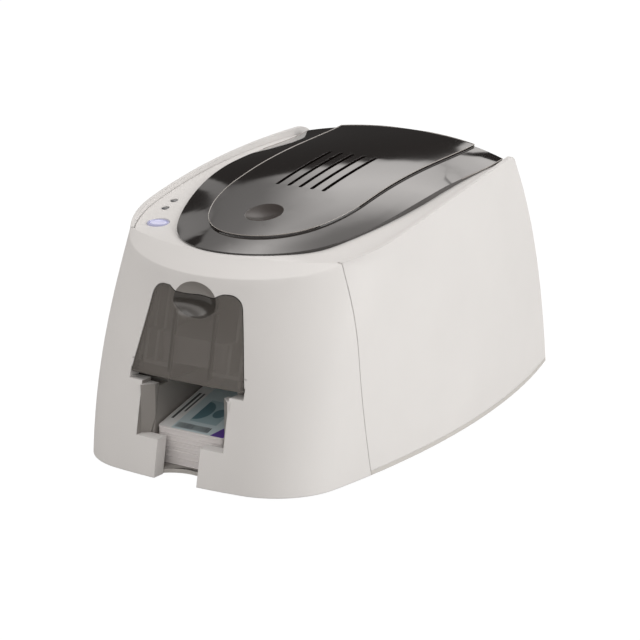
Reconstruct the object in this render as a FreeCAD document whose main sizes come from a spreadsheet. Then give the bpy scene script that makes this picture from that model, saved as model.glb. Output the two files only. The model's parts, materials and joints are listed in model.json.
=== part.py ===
import FreeCAD, Part
import Sketcher
import math
import os
import re
from types import SimpleNamespace

# Desktop ID card printer, all lengths in millimetres.
# X runs across the machine, the front faces -Y, Z is up.
# The origin is on the floor under the middle of the casing.

Vector = FreeCAD.Vector
doc = FreeCAD.newDocument("CardPrinter")
sheet = doc.addObject("Spreadsheet::Sheet", "Sizes")

# Driving dimensions, one row for each alias.
SIZES = [
    # Casing
    ("body_length", 381),
    ("body_width", 205),
    ("foot_height", 3),
    ("shoulder_height", 151),
    ("shell_wall", 2.8),
    ("seam_gap", 0.4),
    ("overrun", 40),
    ("side_radius", 758),
    ("widest_from_front", 146.6),
    ("front_spread_low", 321.5),
    ("front_spread_mid", 356.5),
    ("front_spread_high", 16.5),
    ("corner_radius_low", 50.6),
    ("corner_radius_mid", 55),
    ("corner_radius_high", 81.3),
    ("front_lean", 29.4),
    ("base_strip_height", 3),
    ("base_rim_height", 8),
    ("seam_low_from_front", 85.7),
    ("seam_high_from_front", 69.6),
    ("seam_bulge", 4.5),
    # Deck round the hood and the raised edges of the side panels
    ("deck_radius", 880),
    ("deck_crest_height", 178),
    ("deck_crest_from_front", 301.5),
    ("deck_blend_radius", 100),
    ("deck_end_from_front", 272.5),
    ("edge_radius", 1107),
    ("edge_crest_height", 184.3),
    ("edge_crest_from_front", 337.1),
    ("crease_radius", 164),
    ("crease_centre_from_front", 209.6),
    ("facet_angle", 31),
    ("facet_round", 1.5),
    # Rear
    ("rear_lean", 95),
    ("rear_top_height", 181),
    ("rear_bulge", 11.2),
    ("rear_wall_height", 163),
    ("rear_corner_round", 8),
    ("shelf_height", 157),
    ("shelf_from_front", 246.5),
    ("vent_count", 9),
    ("vent_pitch", 9),
    ("vent_width", 3.4),
    ("vent_low", 78),
    ("vent_high", 112),
    # Hood
    ("hood_half_width", 84.4),
    ("hood_nose_length", 140),
    ("hood_centre_from_front", 186.5),
    ("hood_rear_half_width", 83),
    ("hood_side_length", 95),
    ("hood_rear_bow", 8.6),
    ("hood_wall", 2.4),
    ("hood_gap", 0.3),
    ("hood_crown_height", 188.5),
    ("tongue_rise", 1.4),
    ("tongue_half_width", 54.4),
    ("tongue_nose_length", 81),
    ("tongue_centre_from_front", 151.5),
    ("tongue_rear_half_width", 57.5),
    ("hood_cross_radius", 550),
    ("slot_count", 5),
    ("slot_pitch", 9.5),
    ("slot_length", 68),
    ("slot_width", 3),
    ("slot_from_front", 148),
    ("dimple_radius", 13.8),
    ("dimple_depth", 2.2),
    ("dimple_from_front", 105.5),
    ("hinge_from_front", 275.5),
    ("hinge_height", 173.8),
    ("hinge_pin_radius", 2),
    ("hinge_ear_radius", 5),
    ("hinge_ear_width", 4),
    ("hinge_ear_place", 66.2),
    ("skirt_height", 166),
    ("opening_margin", 11.4),
    # Front window, feeder door and output bay
    ("bay_half_width", 35.6),
    ("bay_low", 28.6),
    ("bay_cheek_from_front", 11),
    ("notch_half_width", 17.4),
    ("lip_depth", 10),
    ("lip_wall", 2.4),
    ("window_low", 64.6),
    ("door_low", 69.4),
    ("door_low_half_width", 46.1),
    ("door_high_half_width", 36.6),
    ("door_high", 129.6),
    ("door_dip", 4.6),
    ("door_corner_radius", 10),
    ("door_wall", 2.4),
    ("door_gap", 0.5),
    ("scoop_half_width", 18),
    ("scoop_half_height", 13),
    ("scoop_depth", 7.5),
    ("scoop_height", 124),
    ("door_axis_height", 73),
    ("door_axis_from_front", 20.5),
    ("door_pin_radius", 1.5),
    ("door_pin_length", 10),
    ("door_ear_radius", 3.2),
    ("door_ear_width", 4),
    # Controls
    ("button_from_front", 87.1),
    ("button_place", 76),
    ("button_radius", 5.9),
    ("button_ring_radius", 7.85),
    ("button_ring_rise", 1.3),
    ("button_height", 6),
    ("button_gap", 0.25),
    ("lamp_radius", 2.7),
    ("lamp_rise", 0.3),
    # Cards
    ("card_width", 54),
    ("card_length", 85.6),
    ("card_thickness", 0.76),
    ("card_pitch", 0.8),
    ("card_corner", 3.2),
    ("blank_count", 24),
    ("printed_count", 30),
    ("printed_slope_angle", 15),
    ("printed_height", 8.6),
    ("printed_from_front", 17.6),
    ("card_clearance", 1.3),
    ("tray_wall", 2),
    # Card path and mechanism
    ("path_height", 78),
    ("nip_gap", 0.3),
    ("roller_radius", 6),
    ("roller_half_length", 25),
    ("shaft_radius", 3),
    ("frame_half_gap", 34),
    ("frame_low_top", 82),
    ("frame_step_from_front", 99),
    ("frame_wall", 2),
    ("frame_high", 104),
    ("frame_front_from_front", 84.5),
    ("frame_rear_from_front", 285.5),
    ("frame_flange", 9),
    ("platen_from_front", 202.5),
    ("gear_module", 1),
    ("gear_width", 5),
    ("gear_gap", 1),
    ("shaft_teeth", 24),
    ("front_idler_teeth", 20),
    ("middle_idler_teeth", 42),
    ("rear_idler_teeth", 30),
    ("pinion_teeth", 12),
    ("idler_pin_radius", 2.5),
    ("running_clearance", 0.05),
    ("bush_radius", 5),
    ("bush_flange_radius", 6.5),
    ("bush_flange", 1),
    ("motor_radius", 17.5),
    ("motor_length", 26),
    ("motor_shaft_radius", 1.5),
    ("idle_roller_radius", 5),
    ("idle_shaft_radius", 2),
    ("bar_radius", 3),
    ("hopper_half_width", 40),
    ("hopper_step_from_front", 77.5),
    ("hopper_wall", 2.4),
    ("hopper_high", 131),
    ("hopper_rear_from_front", 112),
    ("hopper_setback", 4),
    ("hopper_low_high", 97.6),
    ("tray_high", 60),
    ("screen_from_front", 33),
    ("screen_half_width", 62),
    ("screen_high", 74.8),
    ("button_travel", 1.2),
    ("switch_height", 2.5),
    ("guide_bar_radius", 1.5),
    ("front_guide_offset", 18),
    ("rear_guide_offset", 15),
    ("cheek_wall", 1.6),
    ("cheek_gap", 0.2),
    ("fin_count", 7),
    ("fin_width", 3),
    # Ribbon
    ("spool_height", 118),
    ("supply_from_front", 252.5),
    ("takeup_from_front", 148.5),
    ("spool_core_radius", 5),
    ("supply_roll_radius", 14),
    ("takeup_roll_radius", 9),
    ("ribbon_half_width", 27),
    ("ribbon_thickness", 0.2),
    ("ribbon_gap", 0.3),
    ("ribbon_motor_radius", 12),
    ("ribbon_motor_length", 27),
    ("cassette_wall", 1.6),
    ("cassette_gap", 1),
    ("cassette_reach", 16),
    ("cassette_lobe", 8),
    ("cassette_front_reach", 12),
    ("cassette_drop", 10),
    ("cassette_dip", 4),
    ("cassette_rise", 7),
    # Print head on the hood
    ("head_half_width", 29),
    ("head_depth", 16),
    ("head_height", 7),
    ("sink_height", 26),
    ("spring_height", 14),
    ("spring_radius", 4),
    ("spring_wire", 0.5),
    ("tower_wall", 2.4),
    # Electronics
    ("board_height", 16),
    ("board_wall", 1.6),
    ("usb_width", 12),
    ("usb_height", 11),
    ("usb_depth", 16),
    ("usb_place", 22),
    ("power_width", 9),
    ("power_height", 11),
    ("power_depth", 14),
    ("power_place", 0),
    ("socket_wall", 1.5),
    ("socket_setback", 8.3),
    ("usb_tongue_width", 5.6),
    ("usb_tongue_height", 3),
    ("power_bore_radius", 3.2),
    ("power_pin_radius", 1),
    ("board_front_from_front", 220),
    ("board_half_width", 33),
    ("board_post_radius", 3),
    ("chip_height", 3),
    ("control_height", 140.5),
    ("control_inner", 66),
    ("control_outer", 94),
    ("control_front_from_front", 77.5),
    ("control_rear_from_front", 125.5),
    # Feet and screws
    ("foot_radius", 8),
    ("foot_inset", 30),
    ("foot_from_end", 55),
    ("screw_head_radius", 3),
    ("screw_head_height", 1.8),
    ("screw_radius", 1.5),
    ("screw_length", 4.6),
]

# Places worked out from the driving dimensions, in the same sheet.
PLACES = [
    ("front_radius_low", "body_width / 2 + front_spread_low"),
    ("front_radius_mid", "body_width / 2 + front_spread_mid"),
    ("front_radius_high", "body_width / 2 + front_spread_high"),
    ("front_face", "-body_length / 2"),
    ("rear_face", "body_length / 2"),
    ("floor_top", "foot_height + shell_wall"),
    ("path_axis", "path_height - nip_gap - roller_radius"),
    ("idle_axis", "path_height + card_thickness + nip_gap + idle_roller_radius"),
    ("platen_line", "front_face + platen_from_front"),
    ("middle_idler_line", "platen_line - (shaft_teeth + middle_idler_teeth) * gear_module / 2"),
    ("feed_line", "platen_line - (shaft_teeth + middle_idler_teeth) * gear_module"),
    ("front_idler_line", "feed_line - (shaft_teeth + front_idler_teeth) * gear_module / 2"),
    ("pickup_line", "feed_line - (shaft_teeth + front_idler_teeth) * gear_module"),
    ("rear_idler_line", "platen_line + (shaft_teeth + rear_idler_teeth) * gear_module / 2"),
    ("rear_line", "platen_line + (shaft_teeth + rear_idler_teeth) * gear_module"),
    ("motor_axis", "path_axis - (middle_idler_teeth + pinion_teeth) * gear_module / 2"),
    ("supply_line", "front_face + supply_from_front"),
    ("takeup_line", "front_face + takeup_from_front"),
    ("ribbon_pinion_line", "takeup_line - (shaft_teeth + pinion_teeth) * gear_module / 2"),
    ("frame_outside", "frame_half_gap + frame_wall"),
    ("gear_inside", "frame_outside + gear_gap"),
    ("gear_outside", "gear_inside + gear_width"),
    ("hinge_line", "front_face + hinge_from_front"),
    ("shelf_line", "front_face + shelf_from_front"),
    ("door_axis", "front_face + door_axis_from_front"),
    ("guide_half_gap", "card_width / 2 + card_clearance"),
    ("head_low", "path_height + card_thickness + ribbon_thickness + 2 * ribbon_gap"),
    ("head_top", "head_low + head_height"),
    ("sink_top", "head_top + sink_height"),
    ("board_top", "board_height + board_wall"),
    ("socket_face", "rear_face - socket_setback"),
    ("socket_line", "socket_face - 4 * board_wall"),
    ("tower_low", "sink_top + spring_height"),
    ("film_low", "path_height + card_thickness + ribbon_gap"),
    ("guide_bar_height", "film_low + ribbon_thickness + ribbon_gap + guide_bar_radius"),
    ("cassette_inside", "head_half_width + cheek_gap + cheek_wall + cheek_gap * 2"),
    ("cassette_outside", "cassette_inside + cassette_wall"),
    ("control_top", "control_height + board_wall"),
    ("hopper_rear", "front_face + hopper_rear_from_front"),
    ("hopper_step", "front_face + hopper_step_from_front"),
    ("hopper_top_face", "path_height - nip_gap"),
    ("frame_step", "front_face + frame_step_from_front"),
    ("track_half_width", "frame_half_gap - bush_flange - cheek_gap"),
    ("frame_front", "front_face + frame_front_from_front"),
    ("frame_rear", "front_face + frame_rear_from_front"),
]

for row, (alias, entry) in enumerate(SIZES + [(alias, "=" + rule) for alias, rule in PLACES], start=1):
    sheet.set("A%d" % row, alias)
    sheet.set("B%d" % row, str(entry))
    sheet.setAlias("B%d" % row, alias)
doc.recompute()
known = {alias: float(sheet.get(alias)) for alias, entry in SIZES + PLACES}
s = SimpleNamespace(**known)

WORD = re.compile("[a-z_]+")
nodes = []


# Helpers for parametric pieces
def bind(piece, setting, rule):
    """Tie one setting of a piece to a rule in the sheet's own words."""
    spelled = WORD.sub(lambda word: "Sizes." + word.group() if word.group() in known else word.group(),
                       rule)
    piece.setExpression(setting, spelled)


def block(name, across, along, up):
    """A box from three (low, high) pairs of rules."""
    piece = doc.addObject("Part::Box", name)
    for setting, letter, (low, high) in zip(("Length", "Width", "Height"), "xyz", (across, along, up)):
        bind(piece, setting, "(%s) - (%s)" % (high, low))
        bind(piece, "Placement.Base." + letter, low)
    return piece


TURNS = {
    "x": FreeCAD.Rotation(Vector(0, 1, 0), 90),
    "y": FreeCAD.Rotation(Vector(1, 0, 0), -90),
    "z": FreeCAD.Rotation(),
}


def rod(name, axis, radius, span, centre):
    """A cylinder along an axis, from a (low, high) pair of rules and its centre in the other two."""
    piece = doc.addObject("Part::Cylinder", name)
    piece.Placement = FreeCAD.Placement(Vector(), TURNS[axis])
    bind(piece, "Radius", radius)
    bind(piece, "Height", "(%s) - (%s)" % (span[1], span[0]))
    bind(piece, "Placement.Base." + axis, span[0])
    for letter, place in zip("xyz".replace(axis, ""), centre):
        bind(piece, "Placement.Base." + letter, place)
    return piece


def fuse(name, pieces):
    piece = doc.addObject("Part::MultiFuse", name)
    piece.Shapes = pieces
    return piece


def common(name, pieces):
    piece = doc.addObject("Part::MultiCommon", name)
    piece.Shapes = pieces
    return piece


def group(name, pieces):
    """Separate like pieces that share one node."""
    piece = doc.addObject("Part::Compound", name)
    piece.Links = pieces
    return piece


def cut(name, base, tools):
    piece = doc.addObject("Part::Cut", name)
    piece.Base = base
    piece.Tool = tools[0] if len(tools) == 1 else fuse(name + "_tools", tools)
    return piece


def solid(name, shape):
    """A free-form piece whose shape is worked out from the sheet's sizes in code."""
    piece = doc.addObject("Part::Feature", name)
    piece.Shape = shape
    return piece


def keep(node, piece):
    """Name a finished sub-part."""
    piece.Label = node
    nodes.append(piece)
    return piece


def mirrored(shape):
    return shape.mirror(Vector(), Vector(1, 0, 0))


def plate(name, plane, outline, holes, start, thickness):
    """A body made of one sketch of straight lines and round holes, padded square to its plane."""
    body = doc.addObject("PartDesign::Body", name)
    sketch = body.newObject("Sketcher::SketchObject", name + "_sketch")
    home = [part for part in body.Origin.OriginFeatures if part.Role == plane][0]
    sketch.AttachmentSupport = [(home, "")]
    sketch.MapMode = "FlatFace"
    bind(sketch, "AttachmentOffset.Base.z", start)
    corners = len(outline)
    for corner in range(corners):
        after = (corner + 1) % corners
        sketch.addGeometry(Part.LineSegment(Vector(corner, corner * corner, 0),
                                            Vector(after, after * after, 0)))
    for corner, (first, second) in enumerate(outline):
        sketch.addConstraint(Sketcher.Constraint("Coincident", corner - 1 if corner else corners - 1, 2,
                                                 corner, 1))
        for kind, rule in (("DistanceX", first), ("DistanceY", second)):
            place = sketch.addConstraint(Sketcher.Constraint(kind, corner, 1, 1.0))
            bind(sketch, "Constraints[%d]" % place, rule)
    for first, second, radius in holes:
        ring = sketch.addGeometry(Part.Circle(Vector(), Vector(0, 0, 1), 1))
        for kind, rule in (("DistanceX", first), ("DistanceY", second)):
            place = sketch.addConstraint(Sketcher.Constraint(kind, ring, 3, 1.0))
            bind(sketch, "Constraints[%d]" % place, rule)
        place = sketch.addConstraint(Sketcher.Constraint("Radius", ring, 1.0))
        bind(sketch, "Constraints[%d]" % place, radius)
    pad = body.newObject("PartDesign::Pad", name + "_pad")
    pad.Profile = sketch
    bind(pad, "Length", thickness)
    sketch.Visibility = False
    return body


# Helpers for the free-form casing
def line_path(points):
    return [Part.LineSegment(first, second).toShape() for first, second in zip(points, points[1:])]


def arc(first, middle, last):
    return Part.Arc(first, middle, last).toShape()


def side_view(points):
    """Points in the YZ plane."""
    return [Vector(0, y, z) for y, z in points]


def across(edges):
    """Stretch a closed side view over more than the whole width."""
    face = Part.Face(Part.Wire(edges))
    face.translate(Vector(-s.body_width, 0, 0))
    return face.extrude(Vector(2 * s.body_width, 0, 0))


def front_prism(wire):
    """Stretch a closed front view through the front of the casing."""
    face = Part.Face(wire)
    face.translate(Vector(0, s.front_face - s.overrun, 0))
    return face.extrude(Vector(0, 3 * s.overrun, 0))


def box_between(low, high):
    return Part.makeBox(high.x - low.x, high.y - low.y, high.z - low.z, low)


def on_side(y, height, inset):
    """A point of the bowed side wall."""
    radius = s.side_radius - inset
    away = y - (s.front_face + s.widest_from_front)
    return Vector(s.body_width / 2 - s.side_radius + math.sqrt(radius ** 2 - away ** 2), y, height)


def plan_wire(height, setback, front_radius, corner_radius, inset):
    """Plan outline of the casing at one height: front arc, corner arcs, side arcs, straight back."""
    side_centre = Vector(s.body_width / 2 - s.side_radius, s.front_face + s.widest_from_front, height)
    front_centre = Vector(0, s.front_face + setback + front_radius, height)
    apart = side_centre - front_centre
    gap = apart.Length
    reach = front_radius - corner_radius
    along = (reach ** 2 - (s.side_radius - corner_radius) ** 2 + gap ** 2) / (2 * gap)
    off = math.sqrt(reach ** 2 - along ** 2)
    unit = apart / gap
    square = Vector(-unit.y, unit.x, 0)
    choices = [front_centre + unit * along + square * (turn * off) for turn in (-1, 1)]
    corner = min(choices, key=lambda point: point.y)
    on_front = front_centre + (corner - front_centre).normalize() * (front_radius - inset)
    beside = side_centre + (corner - side_centre).normalize() * (s.side_radius - inset)
    on_corner = corner + ((on_front + beside) / 2 - corner).normalize() * (corner_radius - inset)
    middle = on_side((beside.y + s.rear_face) / 2, height, inset)
    back = on_side(s.rear_face, height, inset)
    tip = front_centre - Vector(0, front_radius - inset, 0)
    right = [arc(back, middle, beside), arc(beside, on_corner, on_front)]
    left = [mirrored(edge) for edge in right]
    left_back = Vector(-back.x, back.y, back.z)
    front_arc = arc(on_front, tip, Vector(-on_front.x, on_front.y, on_front.z))
    return Part.Wire(Part.__sortEdges__(right + left + [front_arc] + line_path([left_back, back])))


def plan_solid(inset):
    """The upright body of the casing, leaning back at the front, before its top and back are cut."""
    middle = (s.foot_height + s.shoulder_height) / 2
    sections = [
        plan_wire(s.foot_height, 0, s.front_radius_low, s.corner_radius_low, inset),
        plan_wire(middle, s.front_lean / 2, s.front_radius_mid, s.corner_radius_mid, inset),
        plan_wire(s.shoulder_height, s.front_lean, s.front_radius_high, s.corner_radius_high, inset),
    ]
    leaning = Part.makeLoft(sections, True, False)
    upper = Part.Face(sections[-1]).extrude(Vector(0, 0, s.overrun))
    return leaning.fuse(upper)


deck_centre = Vector(0, s.front_face + s.deck_crest_from_front, s.deck_crest_height - s.deck_radius)
blend_height = s.shoulder_height + s.deck_blend_radius
blend_reach = s.deck_radius + s.deck_blend_radius
blend_back = math.sqrt(blend_reach ** 2 - (blend_height - deck_centre.z) ** 2)
blend_centre = Vector(0, deck_centre.y - blend_back, blend_height)


def deck_height(y, drop):
    return deck_centre.z + math.sqrt((s.deck_radius - drop) ** 2 - (y - deck_centre.y) ** 2)


def under_deck(drop, end):
    """Everything under the deck line: flat at the front, a soft blend, then one long arc."""
    start = Vector(0, s.front_face - s.overrun, s.shoulder_height - drop)
    flat_end = Vector(0, blend_centre.y, s.shoulder_height - drop)
    outward = (blend_centre - deck_centre).normalize()
    arc_start = deck_centre + outward * (s.deck_radius - drop)
    down = (Vector(0, 0, -1) - outward).normalize()
    blend_middle = blend_centre + down * (s.deck_blend_radius + drop)
    middle = (arc_start.y + end) / 2
    last = Vector(0, end, deck_height(end, drop))
    edges = line_path([start, flat_end]) + [arc(flat_end, blend_middle, arc_start)]
    edges += [arc(arc_start, Vector(0, middle, deck_height(middle, drop)), last)]
    edges += line_path([last, Vector(0, end, -s.overrun), Vector(0, start.y, -s.overrun), start])
    return across(edges)


facet_end = s.front_face + s.seam_high_from_front + s.shell_wall


def crease_cutter(inset):
    """What the conical facet above the front face takes away."""
    slope = math.tan(math.radians(s.facet_angle))
    depth = s.overrun
    margin = s.shell_wall
    sunk = Vector(0, 0, -inset / math.cos(math.radians(s.facet_angle)))
    centre = Vector(0, s.front_face + s.crease_centre_from_front, s.shoulder_height - depth)
    cone = Part.makeCone(s.crease_radius + depth / slope, s.crease_radius - margin / slope,
                         depth + margin, centre)
    low = Vector(-s.body_width, s.front_face - s.overrun, centre.z)
    high = Vector(s.body_width, facet_end, s.shoulder_height + margin)
    cutter = box_between(low, high).cut(cone)
    cutter.translate(sunk)
    return cutter


def seam_view(shift):
    """The line between the front shell and a side panel, seen from the side."""
    low = Vector(0, s.front_face + s.seam_low_from_front + shift, s.foot_height)
    high = Vector(0, s.front_face + s.seam_high_from_front + shift, s.shoulder_height)
    middle = (low + high) / 2 - Vector(0, s.seam_bulge, 0)
    return low, middle, high


def before_seam(shift):
    """Everything in front of the seam."""
    low, middle, high = seam_view(shift)
    far = s.front_face - s.overrun
    top = s.shoulder_height + s.overrun
    lower = side_view([(far, -s.overrun), (low.y, -s.overrun)]) + [low]
    upper = [high] + side_view([(high.y, top), (far, top), (far, -s.overrun)])
    return across(line_path(lower) + [arc(low, middle, high)] + line_path(upper))


rear_low = Vector(0, s.rear_face, s.foot_height)
rear_high = Vector(0, s.rear_face - s.rear_lean, s.rear_top_height)
rear_run = rear_high - rear_low
rear_normal = Vector(0, rear_run.z, -rear_run.y).normalize()
rear_middle = (rear_low + rear_high) / 2 + rear_normal * s.rear_bulge


def before_rear(inset):
    """Everything in front of the leaning back, moved forward by inset."""
    moved = [point - rear_normal * inset for point in (rear_low, rear_middle, rear_high)]
    beyond = rear_run * (s.overrun / rear_run.Length)
    low_end = moved[0] - beyond
    high_end = moved[2] + beyond
    far = s.front_face - s.overrun
    corners = line_path([moved[2], high_end, Vector(0, far, high_end.z), Vector(0, far, low_end.z),
                         low_end, moved[0]])
    return across([arc(*moved)] + corners)


outer_plan = plan_solid(0)
inner_plan = plan_solid(s.shell_wall)
deck_plan = plan_solid(s.shell_wall + s.seam_gap)
deck_end = s.front_face + s.deck_end_from_front
outer_nose = outer_plan.common(under_deck(0, deck_end)).cut(crease_cutter(0))
inner_nose = inner_plan.common(under_deck(s.shell_wall, deck_end)).cut(crease_cutter(s.shell_wall))


# Window, output bay and feeder door outlines, seen from the front
# How far out and how deep the dip of the door goes, in shares of its reach and its depth
DIP_SHARES = [(0.78, 0.12), (0.52, 0.86)]


def door_outline(grow):
    """Tapered door with round top corners and a dip for the finger in its top edge."""
    low = s.door_low - grow
    high = s.door_high + grow
    radius = s.door_corner_radius + grow
    centre = Vector(s.door_high_half_width, 0, s.door_high) - Vector(1, 0, 1) * s.door_corner_radius
    foot = Vector(s.door_low_half_width + grow, 0, low)
    away = foot - centre
    touch = math.atan2(away.z, away.x) + math.acos(radius / away.Length)
    halfway = (touch + math.pi / 2) / 2
    side = centre + Vector(math.cos(touch), 0, math.sin(touch)) * radius
    bend = centre + Vector(math.cos(halfway), 0, math.sin(halfway)) * radius
    apex = Vector(centre.x, 0, high)
    dips = [Vector(apex.x * share, 0, high - s.door_dip * drop) for share, drop in DIP_SHARES]
    flip = lambda point: Vector(-point.x, 0, point.z)
    top = Part.BSplineCurve()
    level = Vector(-1, 0, 0)
    half = [apex] + dips
    whole = half + [Vector(0, 0, high - s.door_dip)] + [flip(point) for point in half[::-1]]
    top.interpolate(whole, InitialTangent=level, FinalTangent=level)
    right = line_path([foot, side]) + [arc(side, bend, apex)]
    left = [arc(flip(apex), flip(bend), flip(side))] + line_path([flip(side), flip(foot)])
    return Part.Wire(right + [top.toShape()] + left + line_path([flip(foot), foot]))


def window_solid(grow):
    """The window for the door and the T-shaped mouth of the output bay under it, as one cutter."""
    deep = (s.front_face - s.overrun, s.front_face + 2 * s.overrun)
    steps = [
        (s.door_low_half_width + s.door_gap, s.window_low, s.door_low + s.door_gap + s.lip_wall),
        (s.bay_half_width, s.bay_low, s.window_low + s.lip_wall),
        (s.notch_half_width, s.foot_height - s.overrun, s.bay_low + s.lip_wall),
    ]
    shape = front_prism(door_outline(s.door_gap + grow))
    for half, low, high in steps:
        shape = shape.fuse(box_between(Vector(-half - grow, deep[0], low - grow),
                                       Vector(half + grow, deep[1], high)))
    return shape


def scoop(grow):
    """The finger scoop: a shallow oval dish shared by the door and the casing above it."""
    half_height = s.scoop_half_height
    radius = (half_height ** 2 + s.scoop_depth ** 2) / (2 * s.scoop_depth)
    long_radius = s.scoop_half_width * radius / half_height + grow
    lean_share = (s.scoop_height - s.foot_height) / (s.shoulder_height - s.foot_height)
    surface = s.front_face + s.front_lean * lean_share
    centre = Vector(0, surface - radius + s.scoop_depth, s.scoop_height)
    ends = [centre + Vector(side * long_radius, 0, 0) for side in (-1, 1)]
    oval = Part.Ellipse(ends[1], centre + Vector(0, radius + grow, 0), centre)
    half = Part.Wire([Part.ArcOfEllipse(oval, 0, math.pi).toShape()] + line_path(ends))
    return Part.Face(half).revolve(centre, Vector(1, 0, 0), 360)


def cylinder_x(low, high, radius, y, height):
    return Part.makeCylinder(radius, high - low, Vector(low, y, height), Vector(1, 0, 0))


def both_sides(shape):
    return shape.fuse(mirrored(shape))


scoop_cut = scoop(0)
scoop_back = scoop(s.shell_wall)
pin_hole_radius = s.door_pin_radius + s.running_clearance
pin_inner = s.door_low_half_width - s.door_ear_width - s.door_gap
pin_outer = pin_inner + s.door_pin_length
boss_inner = s.door_low_half_width + s.door_gap
door_pin_hole = both_sides(cylinder_x(pin_inner, pin_outer, pin_hole_radius, s.door_axis,
                                      s.door_axis_height))


# Hood outlines, seen from above
def nose_wire(half, nose, centre_y, rear_half, rear_y, bow, height):
    """Half an ellipse at the front, straight sides, and a bowed rear edge."""
    centre = Vector(0, centre_y, height)
    oval = Part.Ellipse(centre - Vector(0, nose, 0), centre + Vector(half, 0, 0), centre)
    curve = Part.ArcOfEllipse(oval, -math.pi / 2, math.pi / 2).toShape()
    ends = [vertex.Point for vertex in curve.Vertexes]
    left, right = sorted(ends, key=lambda point: point.x)
    back = [Vector(side * rear_half, rear_y, height) for side in (-1, 1)]
    rear = arc(back[0], Vector(0, rear_y + bow, height), back[1])
    return Part.Wire(Part.__sortEdges__([curve, rear] + line_path([left, back[0]]) + line_path([right,
            back[1]])))


def upright(wire):
    """Stretch a plan outline well above the hood."""
    return Part.Face(wire).extrude(Vector(0, 0, s.hood_crown_height + s.overrun))


hood_centre = s.front_face + s.hood_centre_from_front
hood_rear = hood_centre + s.hood_side_length
tongue_centre = s.front_face + s.tongue_centre_from_front


def hood_prism(inset):
    return upright(nose_wire(s.hood_half_width - inset, s.hood_nose_length - inset, hood_centre,
                             s.hood_rear_half_width - inset, hood_rear - inset, s.hood_rear_bow,
                             s.foot_height))


def tongue_prism():
    return upright(nose_wire(s.tongue_half_width, s.tongue_nose_length, tongue_centre,
                             s.tongue_rear_half_width, hood_rear + s.overrun, s.hood_gap, s.foot_height))


# The hood's middle line: share of the nose behind the tip, share of the rise, cross radius share
CROWN_SHARES = [(-0.1, -0.04, 0.5), (0.3, 0.26, 0.52), (0.67, 0.56, 0.94), (1.1, 0.83, 1), (1.75, 1, 1)]


def under_crown(drop):
    """Everything under a crowned surface: a loft through arcs that stand across the machine."""
    tip = hood_centre - s.hood_nose_length
    rise = s.hood_crown_height - s.shoulder_height - s.hood_gap
    half = s.body_width / 2
    sections = []
    for along_share, rise_share, cross_share in CROWN_SHARES:
        y = tip + along_share * s.hood_nose_length
        top = s.hood_crown_height - rise * (1 - rise_share) - drop
        radius = s.hood_cross_radius * cross_share
        edge = top - radius + math.sqrt(radius ** 2 - half ** 2)
        low = -s.overrun
        crown = arc(Vector(-half, y, edge), Vector(0, y, top), Vector(half, y, edge))
        corners = [Vector(half, y, edge), Vector(half, y, low), Vector(-half, y, low),
                   Vector(-half, y, edge)]
        sections.append(Part.Wire([crown] + line_path(corners)))
    return Part.makeLoft(sections, True, False)


def above_deck(lift):
    """Where the hood may be: over the deck, and behind the hinge down to its skirt."""
    room = Part.makeBox(2 * s.body_width, s.body_length, 2 * s.shoulder_height,
                        Vector(-s.body_width, hood_centre - s.hood_nose_length - s.overrun,
                               s.skirt_height))
    front_part = room.copy()
    front_part.translate(Vector(0, 0, s.shoulder_height - s.overrun - s.skirt_height))
    over = front_part.cut(under_deck(-lift, s.rear_face - s.overrun))
    behind = room.common(box_between(Vector(-s.body_width, s.hinge_line, 0),
                                     Vector(s.body_width, s.rear_face, 2 * s.body_length)))
    return over.fuse(behind)


def hood_form(inset):
    """The closed form of the hood with its raised tongue."""
    base = hood_prism(inset).common(under_crown(inset))
    tongue = hood_prism(inset).common(tongue_prism())
    tongue = tongue.common(under_crown(inset - s.tongue_rise))
    return base, tongue


# Casing shells
def round_creases(shape):
    """Soften both edges of the facet above the front face."""
    body = shape.Solids[0]
    facet_low = s.shoulder_height - s.crease_radius * math.sin(math.radians(s.facet_angle)) / 2
    soft = []
    for edge in body.Edges:
        bounds = edge.BoundBox
        on_facet = bounds.YMax < facet_end - s.facet_round / 4 and bounds.ZMin > facet_low
        straight = isinstance(edge.Curve, Part.Line)
        if on_facet and not straight and bounds.ZMax < s.shoulder_height + s.facet_round:
            soft.append(edge)
    return body.makeFillet(s.facet_round, soft)


soft_nose = round_creases(outer_nose)
front_walls = soft_nose.cut(inner_nose).common(before_seam(-s.seam_gap / 2))
join_y = seam_view(0)[2].y - s.overrun / 4
deck_room = box_between(Vector(-s.body_width, join_y, s.shoulder_height / 2),
                        Vector(s.body_width, deck_end, 2 * s.shoulder_height))
deck_plate = deck_plan.common(under_deck(0, deck_end)).cut(under_deck(s.shell_wall,
        deck_end)).common(deck_room)
deck_plate = deck_plate.cut(crease_cutter(0))
opening_nose = s.hood_nose_length - s.opening_margin
hood_opening = upright(nose_wire(s.hood_half_width - s.opening_margin, opening_nose, hood_centre,
                                 s.hood_half_width - s.opening_margin, deck_end + s.overrun, s.hood_gap,
                                 s.shoulder_height / 2))
lips = soft_nose.common(window_solid(s.lip_wall)).cut(plan_solid(s.lip_depth))
cheek_line = s.front_face + s.bay_cheek_from_front
card_line = s.front_face + s.printed_from_front
cheek_outside = s.bay_half_width + s.lip_wall / 2
bay_cheek_points = [Vector(cheek_outside, cheek_line, 0), Vector(s.bay_half_width, cheek_line, 0),
                    Vector(s.guide_half_gap, card_line, 0),
                    Vector(s.guide_half_gap, card_line + s.lip_depth, 0),
                    Vector(cheek_outside, card_line + s.lip_depth, 0)]
bay_cheek = Part.Face(Part.makePolygon(bay_cheek_points + bay_cheek_points[:1]))
bay_cheek = bay_cheek.extrude(Vector(0, 0, s.window_low - s.bay_low - s.lip_wall / 2))
bay_cheek.translate(Vector(0, 0, s.bay_low - s.lip_wall / 2))
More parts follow.
